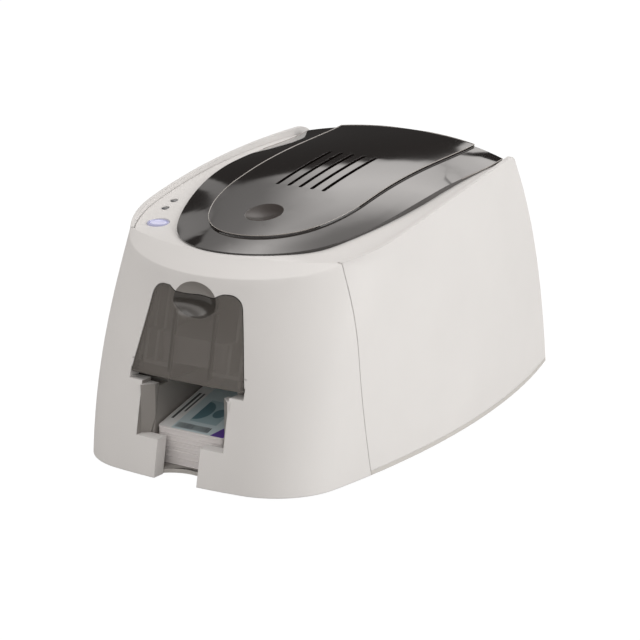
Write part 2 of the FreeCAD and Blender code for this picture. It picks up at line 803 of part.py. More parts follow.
bay_cheek = both_sides(bay_cheek.cut(plan_solid(s.lip_depth)))
boss = both_sides(cylinder_x(boss_inner, boss_inner + s.door_ear_width, s.door_ear_radius, s.door_axis,
                             s.door_axis_height))
scoop_wall = scoop_back.common(soft_nose)
front_shape = front_walls.fuse([deck_plate, lips, boss, scoop_wall]).cut(hood_opening)
front_shape = front_shape.cut(window_solid(0)).fuse(bay_cheek).cut(scoop_cut).cut(door_pin_hole)
button_y = s.front_face + s.button_from_front
button_top = deck_height(button_y, 0) + s.button_ring_rise
ring_hole = s.button_ring_radius + s.running_clearance
front_shape = front_shape.cut(Part.makeCylinder(ring_hole, s.overrun,
                                                Vector(-s.button_place, button_y,
                                                       button_top - s.overrun / 2)))
LAMP_SHARES = [(1.13, 1.25), (1.15, 1.39)]
lamp_places = [Vector(-s.button_place * out, s.front_face + s.button_from_front * back, 0)
               for out, back in LAMP_SHARES]
for place in lamp_places:
    hole = Part.makeCylinder(s.lamp_radius + s.running_clearance, 2 * s.shoulder_height, place)
    front_shape = front_shape.cut(hole)
post_y = [s.front_face + s.control_front_from_front + 2 * s.screw_radius,
          s.front_face + s.control_rear_from_front - 2 * s.screw_radius]
for y in post_y:
    top = deck_height(y, s.shell_wall / 2)
    post = Part.makeCylinder(s.screw_radius,
                             max(top, s.shoulder_height - s.shell_wall / 2) - s.control_top,
                             Vector(-(s.control_inner + 2 * s.screw_radius), y, s.control_top))
    front_shape = front_shape.fuse(post)
relief = box_between(Vector(-boss_inner, s.door_axis - s.door_ear_radius, s.door_low),
                     Vector(boss_inner, s.door_axis + s.lip_depth,
                            s.door_axis_height + s.door_ear_width * 1.3))
front_shape = front_shape.cut(relief)
keep("front_shell", solid("front_shell", front_shape.removeSplitter()))


rear_circle = Part.Circle(rear_low, rear_middle, rear_high)


def rear_line_at(height):
    return rear_circle.Center.y + math.sqrt(rear_circle.Radius ** 2 - (height - rear_circle.Center.z) ** 2)


def edge_view():
    """Side view of a side panel: base line, seam, long top arc, round corner and leaning back."""
    low, middle, high = seam_view(s.seam_gap / 2)
    crest = Vector(0, s.front_face + s.edge_crest_from_front, s.edge_crest_height)

    def edge_point(y):
        return Vector(0, y, crest.z - s.edge_radius + math.sqrt(s.edge_radius ** 2 - (y - crest.y) ** 2))

    start = edge_point(high.y)
    corner = edge_point(rear_high.y)
    end = edge_point(rear_high.y - s.rear_corner_round)
    turned = corner.z - s.rear_corner_round
    after = Vector(0, rear_line_at(turned), turned)
    halfway = (turned + low.z) / 2
    foot = Vector(0, rear_line_at(low.z), low.z)
    path = [arc(low, middle, high)] + line_path([high, start])
    path += [arc(start, edge_point((start.y + end.y) / 2), end),
             arc(end, (end + after) / 4 + corner / 2, after)]
    path += [arc(after, Vector(0, rear_line_at(halfway), halfway), foot)] + line_path([foot, low])
    return across(path)


skin = outer_plan.cut(inner_plan)
panel_low = s.foot_height + s.base_strip_height
above_strip = box_between(Vector(0, s.front_face, panel_low),
                          Vector(s.body_width, s.rear_face, 2 * s.shoulder_height))
panel_shape = skin.common(above_strip).common(edge_view())
keep("right_side_panel", solid("right_side_panel", panel_shape))
keep("left_side_panel", solid("left_side_panel", mirrored(panel_shape)))

floor_plan = outer_plan.common(before_rear(0))
strip = box_between(Vector(-s.body_width, s.front_face, s.foot_height),
                    Vector(s.body_width, s.rear_face, panel_low))
base_shape = skin.common(floor_plan).common(strip).cut(before_seam(s.seam_gap / 2))
inside_front = plan_solid(s.shell_wall + s.seam_gap)
floor_slab = box_between(Vector(-s.body_width, s.front_face, s.foot_height),
                         Vector(s.body_width, s.rear_face, s.floor_top))
floor_front = inside_front.common(floor_slab).common(before_rear(0))
base_floor = floor_plan.common(floor_slab).cut(before_seam(s.seam_gap / 2)).fuse(floor_front)
rim_slab = box_between(Vector(-s.body_width, seam_view(0)[0].y, s.foot_height),
                       Vector(s.body_width, s.rear_face, s.foot_height + s.base_rim_height))
base_rim = inside_front.cut(plan_solid(2 * s.shell_wall
                                       + s.seam_gap)).common(rim_slab).common(before_rear(s.shell_wall
                                               + s.seam_gap))
notch = Part.makeCylinder(1.5 * s.notch_half_width, s.overrun,
                          Vector(0, s.front_face - 1.5 * s.notch_half_width + s.printed_from_front
                                 + s.tray_wall, -s.overrun / 2))
board_posts = []
for side in (-1, 1):
    for y in (s.front_face + s.board_front_from_front + 2 * s.board_post_radius,
              s.socket_line - s.usb_depth - 2 * s.board_post_radius):
        x = side * (s.board_half_width - 2 * s.board_post_radius)
        board_posts.append(Part.makeCylinder(s.board_post_radius, s.board_height - s.foot_height,
                                             Vector(x, y, s.foot_height)))
screw_x = s.frame_outside + s.frame_flange / 2
screw_places = [(side * screw_x, y) for side in (-1, 1)
                for y in (s.frame_front + s.frame_flange, s.frame_rear - s.frame_flange)]
screw_holes = [Part.makeCylinder(s.screw_radius + s.running_clearance, s.overrun,
                                 Vector(x, y, -s.overrun / 2)) for x, y in screw_places]
lip_room = s.notch_half_width + s.lip_wall + s.seam_gap
base_floor = base_floor.cut(box_between(Vector(-lip_room, s.front_face, 0),
                                        Vector(lip_room, s.front_face + s.lip_depth + 3 * s.seam_gap,
                                               s.floor_top)))
base_floor = base_floor.fuse(board_posts).cut(Part.makeCompound(screw_holes))
keep("base_pan", solid("base_pan", base_shape.fuse([base_floor, base_rim]).cut(notch).removeSplitter()))

rear_wall = before_rear(0).cut(before_rear(s.shell_wall)).common(deck_plan)
rear_wall = rear_wall.common(box_between(Vector(-s.body_width, 0, panel_low),
                                         Vector(s.body_width, s.rear_face, s.rear_wall_height)))
shelf_low = s.shelf_height - s.shell_wall
rear_shelf = deck_plan.common(before_rear(s.shell_wall / 2))
rear_shelf = rear_shelf.common(box_between(Vector(-s.body_width, s.shelf_line, shelf_low),
                                           Vector(s.body_width, s.rear_face, s.shelf_height)))
bracket_inner = s.hinge_ear_place - s.hinge_ear_width - s.seam_gap
bracket_outer = s.hinge_ear_place - s.seam_gap
eye = s.hinge_ear_radius
BRACKET_SHARES = [(-6, -3.8), (-2.4, -3.8), (-1.1, -1.7), (0, -1), (-1, 0), (-5.2, -2.2)]
bracket_points = side_view([(s.hinge_line + y * eye, s.hinge_height + z * eye)
                            for y, z in BRACKET_SHARES])
bracket_points = [Vector(bracket_inner, point.y, max(point.z, shelf_low)) for point in bracket_points]
bracket = Part.Face(Part.makePolygon(bracket_points
                                     + bracket_points[:1])).extrude(Vector(s.hinge_ear_width, 0, 0))
bracket = bracket.fuse(cylinder_x(bracket_inner, bracket_outer, eye, s.hinge_line, s.hinge_height))
rear_shape = rear_wall.fuse([rear_shelf, bracket, mirrored(bracket)])
hinge_hole = cylinder_x(-s.body_width, s.body_width, s.hinge_pin_radius + s.running_clearance,
                        s.hinge_line, s.hinge_height)
rear_shape = rear_shape.cut(hinge_hole)
for vent in range(int(s.vent_count)):
    x = (vent - (s.vent_count - 1) / 2) * s.vent_pitch
    rear_shape = rear_shape.cut(box_between(Vector(x - s.vent_width / 2, 0, s.vent_low),
                                            Vector(x + s.vent_width / 2, s.body_length, s.vent_high)))
sockets = [(s.usb_place, s.usb_width, s.usb_height), (s.power_place, s.power_width, s.power_height)]
for place, width, height in sockets:
    grown = s.seam_gap
    rear_shape = rear_shape.cut(box_between(Vector(place - width / 2 - grown, s.rear_face - s.overrun,
                                                   s.board_top - grown),
                                            Vector(place + width / 2 + grown, s.rear_face + s.overrun,
                                                   s.board_top + height + grown)))
keep("rear_panel", solid("rear_panel", rear_shape.removeSplitter()))


# Hood, its inner frame and the print head that hangs from it
hood_room = above_deck(s.hood_gap)
outer_base, outer_tongue = hood_form(0)
inner_base, inner_tongue = hood_form(s.hood_wall)
hood_shape = outer_base.fuse(outer_tongue).cut(inner_base.fuse(inner_tongue)).common(hood_room)
dimple_y = s.front_face + s.dimple_from_front
dimple_ball = (s.dimple_radius ** 2 + s.dimple_depth ** 2) / (2 * s.dimple_depth)


def surface_height(shape, x, y):
    """Top of a shape over one point of the plan."""
    probe = Part.makeLine(Vector(x, y, s.foot_height), Vector(x, y, 2 * s.shoulder_height))
    return shape.common(probe).BoundBox.ZMax


dimple_top = surface_height(outer_tongue, 0, dimple_y)
tilt = Vector(0,
              surface_height(outer_tongue, 0, dimple_y - s.dimple_radius) - surface_height(outer_tongue,
                      0, dimple_y + s.dimple_radius),
              2 * s.dimple_radius).normalize()
ball_centre = Vector(0, dimple_y, dimple_top) + tilt * (dimple_ball - s.dimple_depth)
dimple = Part.makeSphere(dimple_ball, ball_centre)
dimple_boss = Part.makeSphere(dimple_ball + s.hood_wall, ball_centre).common(outer_tongue)
hood_shape = hood_shape.fuse(dimple_boss).cut(dimple)
slot_start = s.front_face + s.slot_from_front
for slot in range(int(s.slot_count)):
    x = (slot - (s.slot_count - 1) / 2) * s.slot_pitch
    ends = [slot_start + s.slot_width / 2, slot_start + s.slot_length - s.slot_width / 2]
    cutter = box_between(Vector(x - s.slot_width / 2, ends[0], s.shoulder_height),
                         Vector(x + s.slot_width / 2, ends[1], 2 * s.shoulder_height))
    for end in ends:
        cutter = cutter.fuse(Part.makeCylinder(s.slot_width / 2, s.shoulder_height,
                                               Vector(x, end, s.shoulder_height)))
    hood_shape = hood_shape.cut(cutter)
keep("hood_cover", solid("hood_cover", hood_shape))

frame_drop = s.hood_wall + s.hood_gap
frame_margin = s.opening_margin + s.hood_wall
frame_prism = hood_prism(frame_margin)


def crown_skin(drop, thickness):
    """A skin that follows the underside of the hood."""
    high = under_crown(drop)
    return high.cut(under_crown(drop + thickness))


liner = crown_skin(frame_drop, s.tower_wall).common(frame_prism)
liner = liner.cut(box_between(Vector(-s.body_width, s.hinge_line - 2.4 * s.hinge_ear_radius, 0),
                              Vector(s.body_width, s.rear_face, 2 * s.body_length)))
below_liner = under_crown(frame_drop + s.tower_wall / 2)
below_cover = under_crown(frame_drop)
ear = cylinder_x(s.hinge_ear_place, s.hinge_ear_place + s.hinge_ear_width, s.hinge_ear_radius,
                 s.hinge_line, s.hinge_height)
ear_arm = box_between(Vector(s.hinge_ear_place, s.hinge_line - 3.4 * s.hinge_ear_radius, s.hinge_height),
                      Vector(s.hinge_ear_place + s.hinge_ear_width, s.hinge_line,
                             2 * s.hinge_height)).common(below_cover)
arm_reach = box_between(Vector(s.hinge_ear_place - s.hinge_ear_width,
                               s.hinge_line - 3.4 * s.hinge_ear_radius, 0),
                        Vector(s.hinge_ear_place + s.hinge_ear_width,
                               s.hinge_line - 2.3 * s.hinge_ear_radius, 2 * s.hinge_height))
arm_link = crown_skin(frame_drop, s.tower_wall).common(arm_reach)
tower_front = s.platen_line - s.head_depth / 2
tower_rear = s.platen_line + s.head_depth / 2
tower = box_between(Vector(-s.head_half_width, tower_front, s.tower_low),
                    Vector(s.head_half_width, tower_rear, 2 * s.hinge_height))
hollow = box_between(Vector(-s.head_half_width + s.tower_wall, tower_front + s.tower_wall,
                            s.tower_low + s.tower_wall),
                     Vector(s.head_half_width - s.tower_wall, tower_rear - s.tower_wall,
                            2 * s.hinge_height))
cheek_inner = s.head_half_width + s.cheek_gap
cheek = box_between(Vector(cheek_inner, tower_front, s.head_top),
                    Vector(cheek_inner + s.cheek_wall, tower_rear, s.tower_low + s.tower_wall))
cheek_foot = box_between(Vector(0, tower_front, s.tower_low),
                         Vector(cheek_inner + s.cheek_wall, tower_rear, s.tower_low + s.tower_wall))
tower = tower.cut(hollow).common(below_liner)
frame_shape = liner.fuse([both_sides(ear.fuse([ear_arm, arm_link])), tower,
                          both_sides(cheek.fuse(cheek_foot))])
dimple_room = Part.makeCylinder(s.dimple_radius + s.hood_wall, 2 * s.hinge_height, Vector(0, dimple_y, 0))
frame_shape = frame_shape.cut([hinge_hole, dimple_room])
keep("hood_frame", solid("hood_frame", frame_shape))

latch_y = hood_centre - s.hood_nose_length + s.opening_margin + s.hood_wall
latch = box_between(Vector(-2 * s.hinge_ear_width, latch_y + s.hood_wall,
                           s.shoulder_height - s.overrun / 4),
                    Vector(2 * s.hinge_ear_width, latch_y + 2 * s.hood_wall, 2 * s.shoulder_height))
latch = latch.common(under_crown(frame_drop + s.tower_wall))
keep("hood_latch", solid("hood_latch", latch))

pins = [cylinder_x(bracket_inner, s.hinge_ear_place + s.hinge_ear_width, s.hinge_pin_radius,
                   s.hinge_line, s.hinge_height)]
keep("hood_hinge_pins", solid("hood_hinge_pins", Part.makeCompound(pins + [mirrored(pins[0])])))

head_across = ("-head_half_width", "head_half_width")
head_along = ("platen_line - head_depth / 2", "platen_line + head_depth / 2")
keep("print_head", block("print_head", head_across, head_along, ("head_low", "head_top")))
sink = block("sink_body", head_across, head_along, ("head_top", "sink_top"))
gaps = []
for fin in range(int(s.fin_count)):
    left = "(%d - (fin_count - 1) / 2) * fin_width * 2.6 - fin_width / 2" % fin
    spans = ((left, left + " + fin_width"), (head_along[0], head_along[1]),
             ("head_top + fin_width", "sink_top - fin_width"))
    gaps.append(block("sink_gap_%d" % fin, *spans))
keep("head_heatsink", cut("head_heatsink", sink, gaps))

springs = []
for side in (-1, 1):
    helix = Part.makeHelix(s.spring_height / 5, s.spring_height - 2 * s.spring_wire, s.spring_radius)
    start = Part.Wire([Part.makeCircle(s.spring_wire, Vector(s.spring_radius, 0, 0), Vector(0, 1, 0))])
    spring = Part.Wire(helix.Edges).makePipeShell([start], True, False)
    spring.translate(Vector(side * s.head_half_width / 2, s.platen_line, s.sink_top + s.spring_wire))
    springs.append(spring)
keep("head_springs", solid("head_springs", Part.makeCompound(springs)))


# Feeder door and its pins
door_prism = front_prism(door_outline(0))
door_shell = outer_plan.cut(plan_solid(s.door_wall)).common(door_prism)
door_dish = scoop(s.door_wall).common(outer_plan).common(door_prism)
door_ear = cylinder_x(pin_inner, s.door_low_half_width, s.door_ear_radius, s.door_axis,
                      s.door_axis_height)
ear_root = box_between(Vector(pin_inner, s.door_axis - 2 * s.door_ear_radius,
                              s.door_axis_height - s.door_ear_radius),
                       Vector(s.door_low_half_width, s.door_axis, s.door_axis_height + s.door_ear_radius))
ear_root = ear_root.common(outer_plan).common(door_prism)
door_shape = door_shell.fuse([door_dish,
                              both_sides(door_ear.fuse(ear_root).common(door_prism))]).cut(scoop_cut)
door_shape = door_shape.cut(door_pin_hole)
keep("feeder_door", solid("feeder_door", door_shape))
door_pin = cylinder_x(pin_inner, pin_outer, s.door_pin_radius, s.door_axis, s.door_axis_height)
keep("door_pins", solid("door_pins", Part.makeCompound([door_pin, mirrored(door_pin)])))


# Cards
def card(low_y, low_z, slope):
    """One card with round corners, its front lower edge at a given place."""
    shape = Part.makeBox(s.card_width, s.card_length, s.card_thickness, Vector(-s.card_width / 2, 0, 0))
    upright_edges = [edge for edge in shape.Edges if edge.BoundBox.ZLength > s.card_thickness / 2]
    shape = shape.makeFillet(s.card_corner, upright_edges)
    shape.rotate(Vector(), Vector(1, 0, 0), slope)
    shape.translate(Vector(0, low_y, low_z))
    return shape


blank_front = s.hopper_rear - s.hopper_wall - s.card_length - s.card_clearance / 2
blanks = [card(blank_front, s.path_height + layer * s.card_pitch, 0)
          for layer in range(int(s.blank_count))]
keep("blank_cards", solid("blank_cards", Part.makeCompound(blanks)))
printed_front = s.front_face + s.printed_from_front
step = s.card_pitch / math.cos(math.radians(s.printed_slope_angle))
printed = [card(printed_front, s.printed_height + layer * step, s.printed_slope_angle)
           for layer in range(int(s.printed_count))]
keep("printed_cards", solid("printed_cards", Part.makeCompound(printed)))

lip_back = solid("lip_back", plan_solid(s.lip_depth + s.seam_gap))
tray_half = s.guide_half_gap + s.tray_wall
tray_front = s.front_face
tray_low = s.floor_top
tray_outer = box_between(Vector(-tray_half, tray_front, tray_low),
                         Vector(tray_half, s.hopper_rear, s.tray_high))
tray_inner = box_between(Vector(-s.guide_half_gap, tray_front, tray_low),
                         Vector(s.guide_half_gap, s.hopper_rear - s.tray_wall, s.tray_high))
rise = math.tan(math.radians(s.printed_slope_angle))
bed_front = s.printed_height - s.hood_gap
bed_rear = bed_front + (s.hopper_rear - printed_front) * rise
bed = side_view([(printed_front - s.printed_from_front, bed_front - s.printed_from_front * rise),
                 (s.hopper_rear, bed_rear),
                 (s.hopper_rear, bed_rear - s.tray_wall),
                 (printed_front - s.printed_from_front,
                  bed_front - s.printed_from_front * rise - s.tray_wall)])
bed_solid = across(line_path(bed + bed[:1])).common(tray_outer)
screen_front = s.front_face + s.screen_from_front
screen = box_between(Vector(s.guide_half_gap, screen_front, s.bay_low),
                     Vector(s.screen_half_width, screen_front + s.tray_wall, s.screen_high))
tray_shape = tray_outer.cut(tray_inner).fuse([bed_solid,
                                              both_sides(screen)]).common(lip_back.Shape).cut(notch)
keep("output_tray", solid("output_tray", tray_shape))

hopper_up = ("hopper_top_face - hopper_wall", "hopper_high")
throat_outside = "guide_half_gap + hopper_wall"
hopper_front = block("hopper_front", ("-hopper_half_width", "hopper_half_width"),
                     ("front_face", "hopper_step"), hopper_up)
throat = block("hopper_throat", ("-guide_half_gap - hopper_wall", throat_outside),
               ("front_face", "hopper_rear"), hopper_up)
hopper_ears = block("hopper_ears", ("-frame_half_gap", "frame_half_gap"),
                    ("frame_step + nip_gap", "hopper_rear - hopper_wall"),
                    ("frame_low_top + nip_gap", "frame_high - hopper_wall"))
hopper_box = fuse("hopper_box", [hopper_front, throat, hopper_ears])
well = block("hopper_well", ("-guide_half_gap", "guide_half_gap"),
             ("front_face", "hopper_rear - hopper_wall"),
             ("hopper_top_face", "hopper_high + overrun"))
pockets = []
for side, low, high in (("left", "-hopper_half_width + hopper_wall", "-guide_half_gap - hopper_wall"),
                        ("right", throat_outside, "hopper_half_width - hopper_wall")):
    pockets.append(block("hopper_pocket_" + side, (low, high),
                         ("front_face", "hopper_step - hopper_wall"),
                         ("hopper_top_face", "hopper_high + overrun")))
feed_slot = block("feed_slot", ("-guide_half_gap", "guide_half_gap"),
                  ("hopper_rear - overrun", "hopper_rear + overrun"),
                  ("hopper_top_face", "hopper_top_face + 2 * card_pitch"))
roller_hole = block("roller_hole", ("-roller_half_length - card_clearance",
                                    "roller_half_length + card_clearance"),
                    ("pickup_line - roller_radius - card_clearance",
                     "pickup_line + roller_radius + card_clearance"),
                    ("path_height - overrun", "path_height + card_pitch"))
finger_gap = block("finger_gap", ("-notch_half_width", "notch_half_width"),
                   ("front_face", "front_face + 2 * scoop_half_width"),
                   ("hopper_top_face - overrun", "hopper_top_face + hopper_wall"))
hopper = cut("hopper_cut", hopper_box, [well] + pockets + [feed_slot, roller_hole, finger_gap])
below_lip = box_between(Vector(-s.body_width, s.front_face, 0),
                        Vector(s.body_width, s.rear_face, s.hopper_low_high))
hopper_limit = solid("hopper_limit",
                     plan_solid(s.hopper_setback).common(below_lip).fuse(plan_solid(s.lip_depth
                             + s.seam_gap)))
keep("card_hopper", common("card_hopper", [hopper, hopper_limit]))


# Mechanism frames, tied by cross bars
FRAME = [("frame_front", "floor_top"), ("frame_rear", "floor_top"),
         ("frame_rear", "path_height + 4 * bar_radius"),
         ("supply_line + supply_roll_radius", "frame_high"), ("frame_step", "frame_high"),
         ("frame_step", "frame_low_top"), ("frame_front", "frame_low_top")]
TIE_PLACES = [("feed_line - 2 * roller_radius - bar_radius", "floor_top + overrun / 2"),
              ("rear_line + 3 * roller_radius", "floor_top + overrun / 2"),
        ("feed_line - 2 * roller_radius",
         "frame_high - 2 * bar_radius"), ("rear_line + 3 * roller_radius",
                                          "path_height + 2 * bar_radius")]
SHAFT_LINES = ["pickup_line", "feed_line", "platen_line", "rear_line"]
shaft_holes = [(line, "path_axis", "bush_radius + running_clearance") for line in SHAFT_LINES]
idle_holes = [(line, "idle_axis", "idle_shaft_radius + running_clearance")
              for line in ("feed_line", "rear_line")]
motor_hole = [("middle_idler_line", "motor_axis", "2 * motor_shaft_radius")]
IDLERS = [("front_idler", "front_idler_line", "front_idler_teeth"),
          ("middle_idler", "middle_idler_line", "middle_idler_teeth"),
          ("rear_idler", "rear_idler_line", "rear_idler_teeth")]
flange_up = ("floor_top", "floor_top + frame_wall")
frame_along = ("frame_front", "frame_rear")
left_plate = plate("left_plate", "YZ_Plane", FRAME, shaft_holes + idle_holes + motor_hole,
                   "-frame_outside", "frame_wall")
left_flange = block("left_flange", ("-frame_outside - frame_flange", "-frame_half_gap"), frame_along,
                    flange_up)
idler_pins = [rod(name + "_pin", "x", "idler_pin_radius",
                  ("-gear_outside - gear_gap", "-frame_half_gap"), (line, "path_axis"))
              for name, line, teeth in IDLERS]
screw_cutter = solid("screw_cutter", Part.makeCompound(screw_holes))
keep("left_frame", cut("left_frame", fuse("left_frame_body", [left_plate, left_flange] + idler_pins),
                       [screw_cutter]))
right_plate = plate("right_plate", "YZ_Plane", FRAME, shaft_holes + idle_holes, "frame_half_gap",
                    "frame_wall")
right_flange = block("right_flange", ("frame_half_gap", "frame_outside + frame_flange"), frame_along,
                     flange_up)
mount_along = ("ribbon_pinion_line - ribbon_motor_radius", "ribbon_pinion_line + ribbon_motor_radius")
mount_wall = block("mount_wall", ("gear_outside + gear_gap", "gear_outside + gear_gap + frame_wall"),
                   mount_along,
                   ("path_height", "spool_height + ribbon_motor_radius"))
mount_foot = block("mount_foot", ("frame_half_gap", "gear_outside + gear_gap + frame_wall"), mount_along,
                   ("path_height", "path_height + frame_wall"))
mount_hole = rod("mount_hole", "x", "2 * motor_shaft_radius", ("gear_outside", "gear_outside + overrun"),
                 ("ribbon_pinion_line", "spool_height"))
right_body = cut("right_frame_body", fuse("right_frame_walls",
                                          [right_plate, right_flange, mount_wall,
                                           mount_foot]), [mount_hole])
keep("right_frame", cut("right_frame", right_body, [screw_cutter]))
ties = [rod("bar_%d" % number, "x", "bar_radius", ("-frame_half_gap", "frame_half_gap"), place)
        for number, place in enumerate(TIE_PLACES)]
keep("cross_bars", group("cross_bars", ties))

bushes = []
for line in SHAFT_LINES:
    for side, low, high, rim_low, rim_high in (
            ("left", "-frame_outside", "-frame_half_gap", "-frame_half_gap",
             "-frame_half_gap + bush_flange"),
            ("right", "frame_half_gap", "frame_outside", "frame_half_gap - bush_flange",
             "frame_half_gap")):
        label = line + "_bush_" + side
        sleeve = rod(label + "_sleeve", "x", "bush_radius", (low, high), (line, "path_axis"))
        rim = rod(label + "_rim", "x", "bush_flange_radius", (rim_low, rim_high), (line, "path_axis"))
        bore = rod(label + "_bore", "x", "shaft_radius + running_clearance",
                   ("-frame_outside - overrun", "frame_outside + overrun"), (line, "path_axis"))
        bushes.append(cut(label, fuse(label + "_body", [sleeve, rim]), [bore]))
keep("shaft_bushes", group("shaft_bushes", bushes))


# Gears
def gear(name, teeth, line, height, low, high, bore_radius, turned):
    """Spur gear with involute teeth; turned is in tooth pitches from a tooth that points to the rear."""
    addendum_share = 0.8
    dedendum_share = 1.1
    thin_share = 0.05
    pressure = math.radians(20)
    flank_steps = 5
    pitch_radius = teeth * s.gear_module / 2
    base = pitch_radius * math.cos(pressure)
    tip = pitch_radius + addendum_share * s.gear_module
    root = pitch_radius - dedendum_share * s.gear_module
    half_tooth = (math.pi / 2 - thin_share) / teeth
    flare = math.tan(pressure) - pressure
    start = max(base, root)
    flank = []
    for step in range(flank_steps + 1):
        radius = start + (tip - start) * step / flank_steps
        roll = math.acos(min(1, base / radius))
        flank.append((radius, half_tooth + flare - (math.tan(roll) - roll)))
    points = []
    for tooth in range(int(teeth)):
        middle = 2 * math.pi * (tooth + turned) / teeth
        outline = [(root, -flank[0][1])] + [(radius, -angle) for radius, angle in flank]
        outline += [(radius, angle) for radius, angle in reversed(flank)] + [(root, flank[0][1])]
        for radius, angle in outline:
            points.append(Vector(low, line + radius * math.cos(middle + angle),
                                 height + radius * math.sin(middle + angle)))
    least = s.running_clearance / 10
    distinct = [point for point, after in zip(points, points[1:] + points[:1])
                if (after - point).Length > least]
    face = Part.Face(Part.makePolygon(distinct + distinct[:1]))
    shape = face.extrude(Vector(high - low, 0, 0))
    return solid(name,
                 shape.cut(cylinder_x(low - s.gear_gap, high + s.gear_gap, bore_radius, line, height)))


fixed_bore = s.shaft_radius + s.running_clearance / 2
for name, line in (("pickup", s.pickup_line), ("feed", s.feed_line), ("platen", s.platen_line),
                   ("rear", s.rear_line)):
    keep(name + "_gear", gear(name + "_gear", s.shaft_teeth, line, s.path_axis, -s.gear_outside,
                              -s.gear_inside, fixed_bore, 0))
    line_rule = name + "_line"
    keep(name + "_shaft", rod(name + "_shaft", "x", "shaft_radius",
                              ("-gear_outside - gear_gap", "frame_outside + gear_gap"),
                              (line_rule, "path_axis")))
    sleeve = rod(name + "_sleeve", "x", "roller_radius", ("-roller_half_length", "roller_half_length"),
                 (line_rule, "path_axis"))
    bore = rod(name + "_bore", "x", "shaft_radius + running_clearance / 2",
               ("-roller_half_length - overrun", "roller_half_length + overrun"),
               (line_rule, "path_axis"))
    keep(name + "_roller", cut(name + "_roller", sleeve, [bore]))
idler_bore = s.idler_pin_radius + s.running_clearance
for name, line, teeth in (("front_idler", s.front_idler_line, s.front_idler_teeth),
                          ("middle_idler", s.middle_idler_line, s.middle_idler_teeth),
                          ("rear_idler", s.rear_idler_line, s.rear_idler_teeth)):
    keep(name + "_gear", gear(name + "_gear", teeth, line, s.path_axis, -s.gear_outside, -s.gear_inside,
                              idler_bore, 0.5))
motor_bore = s.motor_shaft_radius + s.running_clearance / 2
pinion = gear("pinion_teeth_ring", s.pinion_teeth, s.middle_idler_line, s.motor_axis, -s.gear_outside,
              -s.gear_inside, motor_bore, 0.5)
stub = rod("motor_stub", "x", "motor_shaft_radius + running_clearance",
           ("-gear_outside - gear_gap", "-frame_half_gap"), ("middle_idler_line", "motor_axis"))
keep("motor_pinion", fuse("motor_pinion", [pinion, stub]))
motor_can = rod("motor_can", "x", "motor_radius", ("-frame_half_gap", "-frame_half_gap + motor_length"),
                ("middle_idler_line", "motor_axis"))
keep("drive_motor", motor_can)

for name, line in (("cleaning_roller", "feed_line"), ("pinch_roller", "rear_line")):
    sleeve = rod(name + "_sleeve", "x", "idle_roller_radius",
                 ("-roller_half_length", "roller_half_length"), (line, "idle_axis"))
    axle = rod(name + "_axle", "x", "idle_shaft_radius", ("-frame_outside", "frame_outside"),
               (line, "idle_axis"))
    keep(name, fuse(name, [sleeve, axle]))

# Card track with windows over the rollers and a chute down to the output tray
track = block("track", ("-track_half_width", "track_half_width"),
              ("hopper_rear + card_clearance * 6", "frame_rear - card_clearance"),
              ("hopper_top_face - tray_wall", "hopper_top_face"))
windows = [block(line + "_window", ("-roller_half_length - card_clearance",
                                    "roller_half_length + card_clearance"),
                 (line + " - roller_radius - card_clearance",
                  line + " + roller_radius + card_clearance"), ("path_axis", "path_height + overrun"))
           for line in SHAFT_LINES[1:]]
CHUTE = [("hopper_rear + card_clearance * 6", "hopper_top_face"),
         ("hopper_rear + card_clearance * 7.5", "hopper_top_face"),
         ("hopper_rear + card_clearance * 7.5",
          "hopper_top_face - tray_wall * 2.2"), ("hopper_rear - card_clearance",
                                                 "tray_high + tray_wall / 4"),
         ("hopper_rear - card_clearance * 2",
          "tray_high + tray_wall * 1.2"), ("hopper_rear + card_clearance * 6",
                                           "hopper_top_face - tray_wall")]
lugs = [block(name, ("-frame_half_gap", "frame_half_gap"),
              (line + " - bush_flange", line + " + bush_flange"),
              ("hopper_top_face - tray_wall", "hopper_top_face")) for name, line in (("front_lug",
                      "middle_idler_line"), ("rear_lug", "rear_idler_line"))]
chute = plate("chute", "YZ_Plane", CHUTE, [], "-card_width / 2", "card_width")
keep("card_track",
     fuse("card_track", [cut("track_cut", fuse("track_body", [track] + lugs), windows), chute]))


# Ribbon cassette, spools and film
guide_ends = ("platen_line - front_guide_offset", "platen_line + rear_guide_offset")
wall_low = "guide_bar_height - guide_bar_radius - cheek_gap"
wall_front = guide_ends[0] + " - 4 * guide_bar_radius"
wall_rear = guide_ends[1] + " + 4 * guide_bar_radius"
WALL = [
    (wall_front, wall_low),
    (wall_rear, wall_low),
    (wall_rear, "frame_high - cassette_drop"),
    ("supply_line + cassette_reach", "frame_high - cassette_drop"),
    ("supply_line + cassette_reach", "spool_height + cassette_rise"),
    ("supply_line - cassette_lobe", "spool_height + cassette_rise"),
    ("supply_line - cassette_reach", "frame_high - cassette_dip"),
    ("takeup_line + cassette_reach", "frame_high - cassette_dip"),
    ("takeup_line + cassette_lobe", "spool_height + cassette_rise"),
    ("takeup_line - cassette_front_reach", "spool_height + cassette_rise"),
    ("takeup_line - cassette_front_reach", "frame_high - cassette_drop"),
    (wall_front, "frame_high - cassette_drop"),
]
spool_holes = [("supply_line", "spool_height", "idle_shaft_radius + running_clearance"),
               ("takeup_line", "spool_height", "idle_shaft_radius + running_clearance")]
walls = [plate("cassette_left", "YZ_Plane", WALL, spool_holes, "-cassette_outside", "cassette_wall"),
         plate("cassette_right", "YZ_Plane", WALL, spool_holes, "cassette_inside", "cassette_wall")]
bars = [rod("guide_bar_%d" % number, "x", "guide_bar_radius", ("-cassette_inside", "cassette_inside"),
            (line, "guide_bar_height"))
        for number, line in enumerate(guide_ends)]
rests = []
